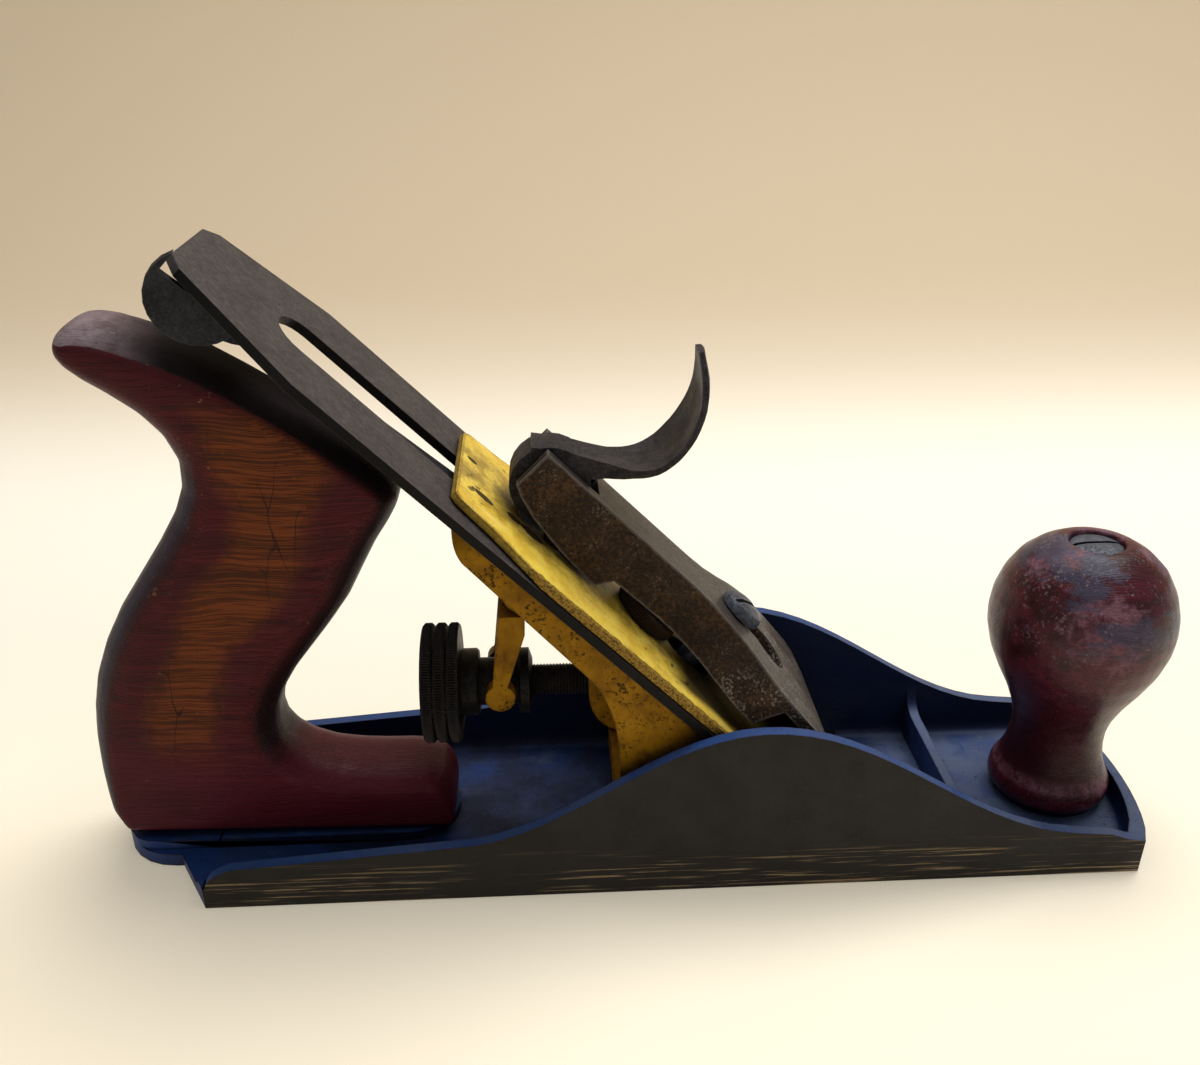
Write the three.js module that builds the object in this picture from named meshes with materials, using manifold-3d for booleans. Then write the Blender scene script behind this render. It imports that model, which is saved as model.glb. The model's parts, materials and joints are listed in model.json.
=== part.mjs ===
// A metal smoothing plane with a wooden tote and knob, every piece a separate solid.
// Millimetres. +X runs to the toe, +Y to the user's left, +Z up; the origin lies on the sole,
// on its middle line. Pieces that lie on the bed are modelled flat, in the bed's own frame:
// X up the slope, Z square to the bed, with the origin where the bed meets the sole.
import * as THREE from 'three';
import { mergeVertices } from 'three/addons/utils/BufferGeometryUtils.js';
import Module from 'manifold-3d';

const wasm = await Module();
wasm.setup();

// Clearances and overruns
const seatGap = 0.3;
const runGap = 0.2;
const overrun = 2;

// The cutting iron's width sets the widths of what holds it
const ironWidth = 50.8;
const ironSideRoom = 1.6;
const mouthSideRoom = 1.2;
const frogSideRoom = 3.5;
const frogSeatInset = 4.5;
const leverCapInset = 3.1;
const capIronInset = 0.2;
const cheekThickness = 3;
const wellWidth = ironWidth + 2 * ironSideRoom;
const soleWidth = wellWidth + 2 * cheekThickness;
const mouthWidth = ironWidth + 2 * mouthSideRoom;
const frogWidth = wellWidth - 2 * frogSideRoom;
const frogSeatWidth = frogWidth - 2 * frogSeatInset;
const leverCapFootWidth = ironWidth - 2 * leverCapInset;
const capIronFullWidth = ironWidth - 2 * capIronInset;

// Sole casting
const railLength = 228;
const railShift = 14;
const toeBulge = 6;
const heelTaper = 9;
const tongueHalfWidth = 14.6;
const tongueLength = 16.2;
const floorThickness = 3.5;
const innerFillet = 3.2;
const heelRailHeight = 10.6;
const midRailHeight = 15.4;
const toeRailHeight = 12.6;
const toeTipHeight = 9.4;
const crestHeight = 45;
const crestX = 33;
const rearFlankLength = 75;
const frontFlankLength = 80;
const heelRound = 7;
const toeRound = 13;
const toeLipThickness = 2.4;
const toeLipFillet = 2.8;
const toeLipReach = 26;
const heelX = railShift - railLength / 2;
const toeX = heelX + railLength;
const soleHalfWidth = soleWidth / 2;
const cheekInnerY = wellWidth / 2;
const ribX = 84.6;
const ribThickness = 2.6;
const ribHeight = 12.4;
const ribEndRise = 6.5;
const ribFillet = 6.5;
const frogSeatHeight = 6;
const frogSeatLength = 42;

// Bed: the face that the frog offers to the iron
const bedAngle = Math.PI / 4;
const bedFootX = 59.1;
const mouthBehind = 5;
const mouthAhead = 5.8;
const mouthClearHeight = 12;

// Cutting iron
const ironThickness = 2.2;
const ironLength = 210;
const ironTaperLength = 31.5;
const ironTopWidth = 29.8;
const ironEdgeLift = 0.6;
const ironBevelAngle = Math.PI * 25 / 180;
const ironSlotWidth = 13.6;
const ironSlotTop = 187;
const ironSlotBottom = 52;
const ironCornerRound = 3;

// Cap iron
const capIronThickness = 2;
const capIronTop = 138.5;
const capIronTopWidth = 38;
const capIronShoulderWidth = 41;
const capIronShoulder = 127;
const capIronFullFrom = 112;
const capIronTipSetback = 1.6;
const capIronTipThickness = 0.7;
const humpStart = 27;
const humpPeak = 14;
const humpRise = 1.9;
const yokeHoleWidth = 8.4;
const yokeHoleLength = 4.6;
const capScrewHoleRadius = 2.6;
const capSlotHalfWidth = 4.2;
const capSlotHalfLength = 7.5;

// Cap iron screw and its knurled nut
const capScrewAt = 79.9;
const capScrewRadius = 2.3;
const capScrewHeadRadius = 8.4;
const capScrewHeadThickness = 2.1;
const capNutRadius = 8.5;
const capNutThickness = 3.7;
const capNutTeeth = 30;
const knurlDepth = 0.45;

// Lever cap
const leverCapTop = 127.5;
const leverCapBottom = 9;
const leverCapNeckWidth = 16.4;
const flareTop = 80;
const flareBottom = 47;
const leverCapHeight = 21.5;
const leverCapWall = 2.7;
const leverCapSkirtEnd = 50.5;
const leverSlotEnd = 111.4;
const keyholeRadius = 6.6;
const keyholeDrop = 12.7;
const keySlotHalfWidth = 3.6;

// Lever cap screw
const leverScrewAt = 63.3;
const leverScrewRadius = 3;
const leverScrewHeadRadius = 5.7;
const leverScrewHeadThickness = 3.3;
const leverScrewDepth = 10;
const driverSlotWidth = 1.2;
const driverSlotDepth = 1.1;

// Cam lever, its pin and the leaf spring under it
const camPinAt = 121;
const camPinHeight = 15.4;
const camPinRadius = 2.1;
const camPinCover = 1.2;
const camHubRadius = 9.2;
const camNeckWidth = 9.4;
const camPadWidth = 21;
const springThickness = 0.8;
const springWidth = 8.6;
const springRivetAt = 99.5;
const springRivetRadius = 1.5;
const springRivetHeadRadius = 2.6;
const springRivetHeadThickness = 1.1;

// Frog
const frogWebThickness = 3.4;
const frogPlateDepth = 4.8;
const frogTop = 138;
const frogShoulder = 128;
const frogTongueWidth = 19;
const frogBaseThickness = 6;
const frogRearX = -0.5;
const frogRearShoulderHeight = 37;
const frogRearTopHeight = 58;
const frogRearTopX = -8.6;
const stemBossHalfWidth = 7.6;
const stemBossRearX = -7.2;
const stemBossTop = 50.8;
const stemBossLow = 31.4;
const stemWebThickness = 5;
const frogRecessWidth = 18.6;
const frogRecessDepth = 2.9;
const frogRecessLength = 22.5;
const leverRecessEnd = 115.4;

// Frog screws
const frogScrewX = 26;
const frogScrewY = 11.5;
const frogScrewRadius = 2.6;
const frogScrewHeadRadius = 4.9;
const frogScrewHeadThickness = 3;
const frogWasherRadius = 6;
const frogWasherThickness = 1.2;
const frogAccessRadius = 7;
const frogSlotHalfLength = 2.2;
const frogScrewDepth = 5.3;

// Depth adjuster
const stemZ = 42.4;
const stemRadius = 4;
const stemRearX = -44;
const stemFrontX = 4;
const stemBoreDepth = 17;
const wheelRadius = 14.8;
const wheelRearX = -47.4;
const wheelRingPitch = 3.15;
const wheelRings = 3;
const wheelRingGap = 0.55;
const wheelRingEdge = 0.55;
const wheelCoreRadius = 13.3;
const wheelTeeth = 36;
const wheelHubRadius = 8.3;
const wheelHubEndX = -33.9;
const wheelGrooveRadius = 5.9;
const wheelGrooveEndX = -24.3;
const wheelCollarRadius = 8.1;
const wheelCollarEndX = -21.7;
const wheelNoseRadius = 5.6;
const wheelNoseEndX = -20.8;

// Yoke
const yokePivotX = -22.5;
const yokePivotZ = 74.5;
const yokePinRadius = 1.6;
const yokePinLength = 30;
const yokeLugRadius = 4.4;
const yokeHubRadius = 3.9;
const yokeHubWidth = 8;
const yokeBallX = -28.6;
const yokeBallZ = 43.6;
const yokeBallRadius = 3.6;
const yokeArmInnerY = 6.4;
const yokeArmThickness = 3.6;
const yokeArmTopWidth = 6;
const yokeArmNeckWidth = 3.6;
const yokeBridgeZ = 61;
const yokeBridgeThickness = 5;
const yokeFingerThickness = 3.2;
const yokeFingerWidth = 6;
const yokeFingerTop = 5;
const yokeSlotWidth = 9;
const yokeSlotUp = 5.2;
const yokeSlotDown = 13;

// Lateral lever
const lateralPivotAt = 132.5;
const lateralRollerAt = 123.5;
const lateralRollerRadius = 4.1;
const lateralFootRadius = 6;
const lateralThickness = 1.8;
const lateralStripWidth = 11.5;
const lateralBendAt = 160;
const lateralTwistAt = 184;
const lateralTwistEnd = 197;
const lateralDiscAt = 203;
const lateralDiscDrop = 0.5;
const lateralDiscRadius = 9.8;
const lateralStepGap = 1.4;
const lateralRivetRadius = 2;
const lateralSwing = Math.PI * 12 / 180;

// Tote, its bolt and nut
const toteLength = 86;
const toteHeight = 128.7;
const toteThickness = 23;
const toteHeelX = -127;
const totePadHeight = 6;
const totePadMargin = 0.9;
const toteRound = 8.2;
const toteFootX = -41.5;
const toteBoltTopX = -72;
const toteBoltTopZ = 109.5;
const toteBoltFootX = -100;
const toteBoltRadius = 2.8;
const toteNutRadius = 5.2;
const toteNutLength = 11;
const boltSeatDepth = 4;

// Knob, its bolt and nut
const knobX = 115.8;
const knobHeight = 72;
const knobRadius = 22.2;
const knobBossHeight = 5.2;
const knobBossRadius = 13;
const knobBoltRadius = 3;
const knobNutRadius = 6.2;
const knobNutThickness = 3;
const knobNutSink = 0.9;

// Colours and finishes
const paintBlue = 0x4a6387;
const frogOchre = 0xb0832c;
const capYellow = 0xe2c65c;
const bareSteel = 0x7d7976;
const darkSteel = 0x2c2a2c;
const capBrown = 0x6f5a48;
const stainedWood = 0x6b2c30;
const plainSteel = 0x8b8886;

// Sampling of round shapes
const turnSteps = 24;
const fineSteps = 36;
const arcSteps = 6;
const flankSteps = 10;

// Tools for shapes and solids
const vec2 = (x, y) => new THREE.Vector2(x, y);

function solid(geometry) {
  geometry.deleteAttribute('normal');
  geometry.deleteAttribute('uv');
  const welded = mergeVertices(geometry);
  return new wasm.Manifold(new wasm.Mesh({
    numProp: 3,
    vertProperties: new Float32Array(welded.attributes.position.array),
    triVerts: new Uint32Array(welded.index.array),
  }));
}

function surface(shape) {
  const result = shape.getMesh();
  const geometry = new THREE.BufferGeometry();
  geometry.setAttribute('position', new THREE.BufferAttribute(result.vertProperties, 3));
  geometry.setIndex(new THREE.BufferAttribute(result.triVerts, 1));
  geometry.computeVertexNormals();
  return geometry;
}

function join(...shapes) {
  return shapes.reduce((sum, shape) => sum.add(shape));
}

function cut(shape, ...tools) {
  return tools.reduce((rest, tool) => rest.subtract(tool), shape);
}

// An outline in X and Y made into a plate between two heights
function plateGeometry(points, low, high) {
  const geometry = new THREE.ExtrudeGeometry(new THREE.Shape(points), {
    depth: high - low, bevelEnabled: false,
  });
  return geometry.translate(0, 0, low);
}

const plate = (points, low, high) => solid(plateGeometry(points, low, high));

// An outline in X and Z made into a slab between two Y values
function slabGeometry(points, nearY, farY) {
  const geometry = new THREE.ExtrudeGeometry(new THREE.Shape(points), {
    depth: farY - nearY, bevelEnabled: false,
  });
  return geometry.rotateX(Math.PI / 2).translate(0, farY, 0);
}

const slab = (points, nearY, farY) => solid(slabGeometry(points, nearY, farY));

function boxGeometry(low, high) {
  const size = high.map((value, axis) => value - low[axis]);
  const middle = high.map((value, axis) => (value + low[axis]) / 2);
  return new THREE.BoxGeometry(...size).translate(...middle);
}

const box = (low, high) => solid(boxGeometry(low, high));

// A solid of revolution about Z from [radius, height] pairs
function latheGeometry(profile, steps = turnSteps) {
  const points = profile.map(([radius, height]) => vec2(radius, height));
  return new THREE.LatheGeometry(points, steps).rotateX(Math.PI / 2);
}

function rodGeometry(radius, low, high, steps = turnSteps) {
  return latheGeometry([[0, low], [radius, low], [radius, high], [0, high]], steps);
}

const standingRod = (radius, x, y, low, high) =>
  solid(rodGeometry(radius, low, high).translate(x, y, 0));

const crossRod = (radius, x, z, nearY, farY) =>
  solid(rodGeometry(radius, nearY, farY, turnSteps).rotateX(-Math.PI / 2).translate(x, 0, z));

// A rod along X, at its own height
const longRod = (radius, rearX, frontX, z, steps = turnSteps) =>
  solid(rodGeometry(radius, rearX, frontX, steps).rotateY(Math.PI / 2).translate(0, 0, z));

function arc(centreX, centreY, radius, from, to, steps = arcSteps) {
  return Array.from({ length: steps + 1 }, (_, step) => {
    const angle = from + (to - from) * step / steps;
    return vec2(centreX + radius * Math.cos(angle), centreY + radius * Math.sin(angle));
  });
}

// Rises from 0 to 1 with level ends
const ease = (share) => (1 - Math.cos(Math.PI * Math.min(Math.max(share, 0), 1))) / 2;

function smoothLoop(points, count) {
  const curve = new THREE.CatmullRomCurve3(
    points.map(([x, y]) => new THREE.Vector3(x, y, 0)), true, 'centripetal');
  return curve.getSpacedPoints(count).slice(0, count).map((point) => vec2(point.x, point.y));
}

function smoothLine(points, count) {
  const curve = new THREE.CatmullRomCurve3(
    points.map(([x, y]) => new THREE.Vector3(x, y, 0)), false, 'centripetal');
  return curve.getSpacedPoints(count).map((point) => vec2(point.x, point.y));
}

// Joins rings of equal length into one closed solid; the end rings are capped
function loft(rings) {
  const count = rings[0].length;
  const positions = rings.flatMap((ring) => ring.flatMap((point) => [point.x, point.y, point.z]));
  const index = [];
  for (let row = 0; row + 1 < rings.length; row += 1) {
    for (let step = 0; step < count; step += 1) {
      const a = row * count + step;
      const b = row * count + (step + 1) % count;
      index.push(a, b, b + count, a, b + count, a + count);
    }
  }
  const capEnd = (ring, start, flip) => {
    const flat = flattenRing(ring);
    THREE.ShapeUtils.triangulateShape(flat, []).forEach(([a, b, c]) => {
      index.push(start + a, start + (flip ? c : b), start + (flip ? b : c));
    });
  };
  capEnd(rings[0], 0, true);
  capEnd(rings.at(-1), (rings.length - 1) * count, false);
  const geometry = new THREE.BufferGeometry();
  geometry.setAttribute('position', new THREE.Float32BufferAttribute(positions, 3));
  geometry.setIndex(index);
  const volume = signedVolume(positions, index);
  if (volume < 0) {
    for (let corner = 0; corner < index.length; corner += 3) {
      [index[corner], index[corner + 1]] = [index[corner + 1], index[corner]];
    }
    geometry.setIndex(index);
  }
  return solid(geometry);
}

function signedVolume(positions, index) {
  const corner = (at) => new THREE.Vector3().fromArray(positions, index[at] * 3);
  let volume = 0;
  for (let at = 0; at < index.length; at += 3) {
    volume += corner(at).dot(corner(at + 1).cross(corner(at + 2)));
  }
  return volume;
}

// The ring's points in the plane of the ring, turning the same way as the ring does
function flattenRing(ring) {
  const middle = ring.reduce((sum, point) => sum.add(point), new THREE.Vector3())
    .divideScalar(ring.length);
  const normal = new THREE.Vector3();
  ring.forEach((point, step) => {
    const next = ring[(step + 1) % ring.length];
    normal.add(point.clone().sub(middle).cross(next.clone().sub(middle)));
  });
  normal.normalize();
  const across = ring[0].clone().sub(middle).normalize();
  const up = normal.clone().cross(across);
  return ring.map((point) => {
    const offset = point.clone().sub(middle);
    return vec2(offset.dot(across), offset.dot(up));
  });
}

// Frames: the plane's own, and the bed's
const plane = new THREE.Group();
const bed = new THREE.Group();
const upSlope = new THREE.Vector3(-Math.cos(bedAngle), 0, Math.sin(bedAngle));
const bedNormal = new THREE.Vector3(Math.sin(bedAngle), 0, Math.cos(bedAngle));
const bedTurn = new THREE.Matrix4().makeBasis(upSlope, new THREE.Vector3(0, -1, 0), bedNormal);
bed.quaternion.setFromRotationMatrix(bedTurn);
bed.position.set(bedFootX, 0, 0);
bed.updateMatrix();
plane.add(bed);

// The lateral lever's own frame, turned about its rivet
const lateralTurn = new THREE.Group();
lateralTurn.position.set(lateralPivotAt, 0, 0);
lateralTurn.rotation.z = lateralSwing;
const lateral = new THREE.Group();
lateral.position.set(-lateralPivotAt, 0, 0);
lateralTurn.add(lateral);
bed.add(lateralTurn);

const onBed = (geometry) => geometry.applyMatrix4(bed.matrix);

// Where a point of the plane's side view lies on the bed
const bedPlace = (x, z) => ({
  at: (x - bedFootX) * upSlope.x + z * upSlope.z,
  height: (x - bedFootX) * bedNormal.x + z * bedNormal.z,
});

function addPiece(parent, name, shape, colour, roughness, metalness) {
  const material = new THREE.MeshStandardMaterial({ color: colour, roughness, metalness });
  const mesh = new THREE.Mesh(surface(shape), material);
  mesh.name = name;
  parent.add(mesh);
}

// Sole casting: a channel section, a side outline and a plan outline meet in one solid
function railHeight(x) {
  const rearFoot = crestX - rearFlankLength;
  const frontFoot = crestX + frontFlankLength;
  const base = x < rearFoot
    ? THREE.MathUtils.mapLinear(x, heelX, rearFoot, heelRailHeight, midRailHeight)
    : THREE.MathUtils.mapLinear(x, rearFoot, frontFoot, midRailHeight, toeRailHeight);
  const swell = x < crestX
    ? ease((x - rearFoot) / rearFlankLength)
    : ease((frontFoot - x) / frontFlankLength);
  return base + (crestHeight - base) * swell;
}

function soleSideOutline() {
  const tailX = heelX - heelTaper - tongueLength - overrun;
  const heel = arc(heelX + heelRound, heelRailHeight - heelRound, heelRound, Math.PI, Math.PI / 2);
  const flankStart = heelX + heelRound;
  const flankEnd = toeX - toeRound;
  const steps = 4 * flankSteps;
  const top = Array.from({ length: steps + 1 }, (_, step) => {
    const x = flankStart + (flankEnd - flankStart) * step / steps;
    return vec2(x, railHeight(x));
  });
  const toeEnd = toeX + toeBulge + overrun;
  const fall = toeRailHeight - toeTipHeight;
  const toe = [1, 2, 3].map((step) => {
    const share = step / 3;
    return vec2(flankEnd + (toeX - flankEnd) * share, toeRailHeight - fall * ease(share));
  });
  const outline = [vec2(tailX, 0), vec2(toeEnd, 0), vec2(toeEnd, toeTipHeight), ...toe.reverse(),
    ...top.reverse().slice(1), ...heel.reverse().slice(1)];
  return [...outline, vec2(heelX, totePadHeight), vec2(tailX, totePadHeight)];
}

function solePlanOutline(inset = 0) {
  const half = soleHalfWidth - inset;
  const tongueHalf = tongueHalfWidth - inset;
  const tongueX = heelX - heelTaper;
  const tailX = tongueX - tongueLength + inset;
  const toeCurve = Array.from({ length: 2 * arcSteps + 1 }, (_, step) => {
    const share = step / arcSteps - 1;
    const reach = toeBulge * Math.pow(1 - share * share, 0.8);
    return vec2(toeX - inset + reach, half * share);
  });
  const tail = arc(tailX + tongueHalf, 0, tongueHalf, Math.PI / 2, Math.PI * 1.5, 2 * arcSteps);
  return [...toeCurve, vec2(heelX, half), vec2(tongueX, tongueHalf + inset / 2), ...tail,
    vec2(tongueX, -tongueHalf - inset / 2), vec2(heelX, -half)];
}

function channelSection(top) {
  const fillet = (side) => {
    const points = arc(cheekInnerY - innerFillet, floorThickness + innerFillet, innerFillet,
      -Math.PI / 2, 0);
    return points.map((point) => vec2(side * point.x, point.y));
  };
  return [vec2(-soleHalfWidth, 0), vec2(soleHalfWidth, 0), vec2(soleHalfWidth, top),
    vec2(cheekInnerY, top), ...fillet(1).reverse(), ...fillet(-1), vec2(-cheekInnerY, top),
    vec2(-soleHalfWidth, top)];
}

// A section in Y and Z carried along X
function beam(points, rearX, frontX) {
  const geometry = new THREE.ExtrudeGeometry(new THREE.Shape(points), {
    depth: frontX - rearX, bevelEnabled: false,
  });
  return solid(geometry.rotateX(Math.PI / 2).rotateZ(Math.PI / 2).translate(rearX, 0, 0));
}

function ribSection() {
  const side = (sign) => {
    const points = arc(cheekInnerY - ribFillet, ribHeight + ribEndRise, ribEndRise,
      -Math.PI / 2, 0);
    return points.map((point) => vec2(sign * (cheekInnerY - ribFillet
      + (point.x - cheekInnerY + ribFillet) * ribFillet / ribEndRise), point.y));
  };
  return [vec2(-soleHalfWidth + runGap, runGap), vec2(soleHalfWidth - runGap, runGap),
    vec2(soleHalfWidth - runGap, ribHeight + ribEndRise), ...side(1).reverse(), ...side(-1),
    vec2(-soleHalfWidth + runGap, ribHeight + ribEndRise)];
}

function padOutline(margin) {
  const half = toteThickness / 2 + margin;
  const rearX = toteHeelX + half - margin + totePadMargin;
  return [...arc(toteFootX - half + margin, 0, half, -Math.PI / 2, Math.PI / 2, 2 * arcSteps),
    ...arc(rearX, 0, half, Math.PI / 2, Math.PI * 1.5, 2 * arcSteps)];
}

// The hollow behind the toe's lip, with a rounded foot
function lipPocket(height) {
  const shape = new THREE.Shape(solePlanOutline(toeLipThickness + toeLipFillet));
  const geometry = new THREE.ExtrudeGeometry(shape, {
    depth: height, bevelThickness: toeLipFillet, bevelSize: toeLipFillet, bevelSegments: arcSteps / 2,
  });
  return solid(geometry.translate(0, 0, floorThickness + toeLipFillet));
}

function makeBody() {
  const tailX = heelX - heelTaper - tongueLength;
  const frontX = toeX + toeBulge;
  const height = crestHeight + overrun;
  const channel = beam(channelSection(height), tailX - overrun, frontX + overrun);
  const lipStart = toeX - toeLipReach;
  const lip = cut(plate(solePlanOutline(), 0, height), lipPocket(height),
    box([tailX - overrun, -soleWidth, -overrun], [lipStart, soleWidth, height + overrun]));
  const rib = beam(ribSection(), ribX, ribX + ribThickness);
  const pad = plate(padOutline(totePadMargin), 0, totePadHeight);
  const boss = standingRod(knobBossRadius, knobX, 0, 0, knobBossHeight);
  const seatFrontX = bedFootX - frogSeatHeight - mouthBehind;
  const seat = box([seatFrontX - frogSeatLength, -frogSeatWidth / 2, 0],
    [seatFrontX, frogSeatWidth / 2, frogSeatHeight]);
  const whole = join(channel, lip, rib, pad, boss, seat);
  const side = slab(soleSideOutline(), -soleWidth, soleWidth);
  const plan = plate(solePlanOutline(), -overrun, height + overrun);
  const mouth = box([bedFootX - mouthBehind, -mouthWidth / 2, -overrun],
    [bedFootX + mouthAhead, mouthWidth / 2, floorThickness + overrun]);
  const mouthRoom = box([bedFootX - mouthClearHeight, -mouthWidth / 2, floorThickness],
    [bedFootX + mouthAhead, mouthWidth / 2, mouthClearHeight]);
  const seatRoom = join(mouth, cut(mouthRoom, seat));
  const knobHole = standingRod(knobBoltRadius + runGap, knobX, 0, knobBossHeight - boltSeatDepth,
    knobBossHeight + overrun);
  const screwHoles = [-1, 1].map((sign) => standingRod(frogScrewRadius + runGap, frogScrewX,
    sign * frogScrewY, frogSeatHeight - frogScrewDepth, frogSeatHeight + overrun));
  const toteHole = toteBoltRod(toteBoltRadius + runGap, -boltSeatDepth, overrun);
  return cut(whole.intersect(side).intersect(plan), seatRoom, knobHole, ...screwHoles, toteHole);
}

// Tote: a side outline whose rim is drawn in towards both faces
const toteOutlineShares = [
  [0.007, 0.056], [0, 0.132], [0.007, 0.244], [0.041, 0.351], [0.116, 0.458], [0.231, 0.57],
  [0.327, 0.667], [0.365, 0.751], [0.323, 0.824], [0.226, 0.882], [0.148, 0.924],
  [0.121, 0.958], [0.13, 0.983], [0.158, 0.997], [0.209, 1], [0.291, 0.986], [0.419, 0.952],
  [0.558, 0.896], [0.7, 0.829], [0.842, 0.747], [0.891, 0.716], [0.907, 0.692], [0.88, 0.65],
  [0.822, 0.589], [0.748, 0.494], [0.651, 0.406], [0.567, 0.332], [0.52, 0.267], [0.514, 0.209],
  [0.555, 0.163], [0.642, 0.131], [0.755, 0.119], [0.898, 0.115], [0.964, 0.102],
  [0.995, 0.066], [1, 0.03], [0.99, 0],
];
// How far each outline point is drawn in at the faces, as a share of toteRound
const toteDrawShares = [
  0.45, 0.55, 0.8, 1, 1, 1, 1, 1, 0.9, 0.75, 0.5, 0.35, 0.35, 0.45, 0.55, 0.68, 0.7, 0.66,
  0.6, 0.5, 0.5, 0.6, 0.85, 1, 1, 1, 1, 0.9, 0.75, 0.6, 0.5, 0.45, 0.45, 0.42, 0.35, 0.15, 0.05,
];

function toteRings() {
  const count = 60;
  const base = totePadHeight + seatGap;
  const last = toteOutlineShares.length - 1;
  const line = new THREE.CatmullRomCurve3(toteOutlineShares.map(([x, z]) => new THREE.Vector3(
    toteHeelX + x * toteLength, base + z * toteHeight, 0)), false, 'centripetal');
  const points = Array.from({ length: count + 1 }, (_, step) => line.getPoint(step / count));
  const heel = new THREE.Vector3(points[0].x + toteRound / 2, base, 0);
  const outline = [heel, ...points];
  const drawAt = (step) => {
    const place = Math.max(step - 1, 0) / count * last;
    const low = Math.floor(place);
    const high = Math.min(low + 1, last);
    return THREE.MathUtils.lerp(toteDrawShares[low], toteDrawShares[high], place - low);
  };
  const inward = outline.map((point, step) => {
    const before = outline[(step + outline.length - 1) % outline.length];
    const after = outline[(step + 1) % outline.length];
    const along = after.clone().sub(before).normalize();
    const turned = new THREE.Vector3(along.y, -along.x, 0);
    turned.y = Math.max(turned.y, point.y <= base ? 0 : -1);
    return turned;
  });
  const half = toteThickness / 2;
  const levels = 4;
  return Array.from({ length: 2 * levels + 2 }, (_, row) => {
    const side = row <= levels ? -1 : 1;
    const share = row <= levels ? (levels - row) / levels : (row - levels - 1) / levels;
    const angle = share * Math.PI / 2;
    const y = side * (half - toteRound * (1 - Math.sin(angle)));
    return outline.map((point, step) => {
      const draw = toteRound * drawAt(step) * (1 - Math.cos(angle));
      const moved = point.clone().addScaledVector(inward[step], draw);
      return new THREE.Vector3(moved.x, y, Math.max(moved.y, base));
    });
  });
}

// A rod along the tote bolt, between two distances from the pad
function toteBoltRod(radius, low, high) {
  const foot = new THREE.Vector3(toteBoltFootX, 0, totePadHeight);
  const top = new THREE.Vector3(toteBoltTopX, 0, toteBoltTopZ);
  const turn = new THREE.Quaternion().setFromUnitVectors(new THREE.Vector3(0, 0, 1),
    top.clone().sub(foot).normalize());
  const geometry = rodGeometry(radius, low, high);
  return solid(geometry.applyQuaternion(turn).translate(foot.x, foot.y, foot.z));
}

function toteBoltLength() {
  return Math.hypot(toteBoltTopX - toteBoltFootX, toteBoltTopZ - totePadHeight);
}

function makeTote() {
  const length = toteBoltLength();
  const bore = toteBoltRod(toteBoltRadius + runGap, -overrun, length);
  const pocket = toteBoltRod(toteNutRadius + runGap, length - toteNutLength - runGap,
    length + 4 * overrun);
  return cut(loft(toteRings()), bore, pocket);
}

const makeToteBolt = () => toteBoltRod(toteBoltRadius, -boltSeatDepth + seatGap,
  toteBoltLength() - toteNutLength / 2);

function makeToteNut() {
  const length = toteBoltLength();
  const barrel = toteBoltRod(toteNutRadius, length - toteNutLength, length);
  const bore = toteBoltRod(toteBoltRadius + runGap, length - toteNutLength - overrun,
    length - toteNutLength / 2 + runGap);
  const slot = new THREE.Vector3(toteBoltTopX, 0, toteBoltTopZ);
  const driver = box([slot.x - toteNutRadius * 2, -driverSlotWidth / 2, slot.z - driverSlotDepth * 2],
    [slot.x + toteNutRadius * 2, driverSlotWidth / 2, slot.z + overrun * 2]);
  return cut(barrel, bore, driver);
}

// Knob: radius against height, as shares of the ball's radius and the knob's height
const knobProfileShares = [
  [0.66, 0], [0.68, 0.014], [0.69, 0.035], [0.685, 0.058], [0.665, 0.075], [0.64, 0.088],
  [0.59, 0.12], [0.545, 0.165], [0.52, 0.22], [0.52, 0.275], [0.56, 0.335], [0.66, 0.41],
  [0.8, 0.49], [0.92, 0.57], [0.985, 0.645], [1, 0.7], [0.98, 0.765], [0.91, 0.835],
  [0.79, 0.9], [0.62, 0.95], [0.44, 0.982], [0.24, 0.997],
];

function makeKnob() {
  const base = knobBossHeight + seatGap;
  const profile = knobProfileShares.map(([radius, height]) => [
    radius * knobRadius, base + height * knobHeight]);
  const top = base + knobHeight;
  const turned = solid(latheGeometry([[0, base], ...profile, [0, top]], fineSteps)
    .translate(knobX, 0, 0));
  const bore = standingRod(knobBoltRadius + runGap, knobX, 0, base - overrun, top);
  const pocket = standingRod(knobNutRadius + runGap, knobX, 0,
    top - knobNutSink - knobNutThickness, top + overrun);
  return cut(turned, bore, pocket);
}

const makeKnobBolt = () => standingRod(knobBoltRadius, knobX, 0,
  knobBossHeight - boltSeatDepth + seatGap,
  knobBossHeight + knobHeight - knobNutSink - knobNutThickness / 2);

function makeKnobNut() {
  const top = knobBossHeight + seatGap + knobHeight - knobNutSink;
  const low = top - knobNutThickness + seatGap;
  const dome = latheGeometry([[0, low], [knobNutRadius, low], [knobNutRadius, top - knobNutSink],
    [knobNutRadius * 0.8, top - knobNutSink / 3], [knobNutRadius * 0.45, top], [0, top]]);
  const bore = standingRod(knobBoltRadius + runGap, knobX, 0, low - overrun,
    low + knobNutThickness / 2 + runGap);
  const slot = box([knobX - knobNutRadius * 2, -driverSlotWidth / 2, top - driverSlotDepth],
    [knobX + knobNutRadius * 2, driverSlotWidth / 2, top + overrun]);
  return cut(solid(dome.translate(knobX, 0, 0)), bore, slot);
}

// Frog: the wedge that carries the iron, hollow behind, with a boss for the adjuster's stud
const frogBaseZ = frogSeatHeight + seatGap;

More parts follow.
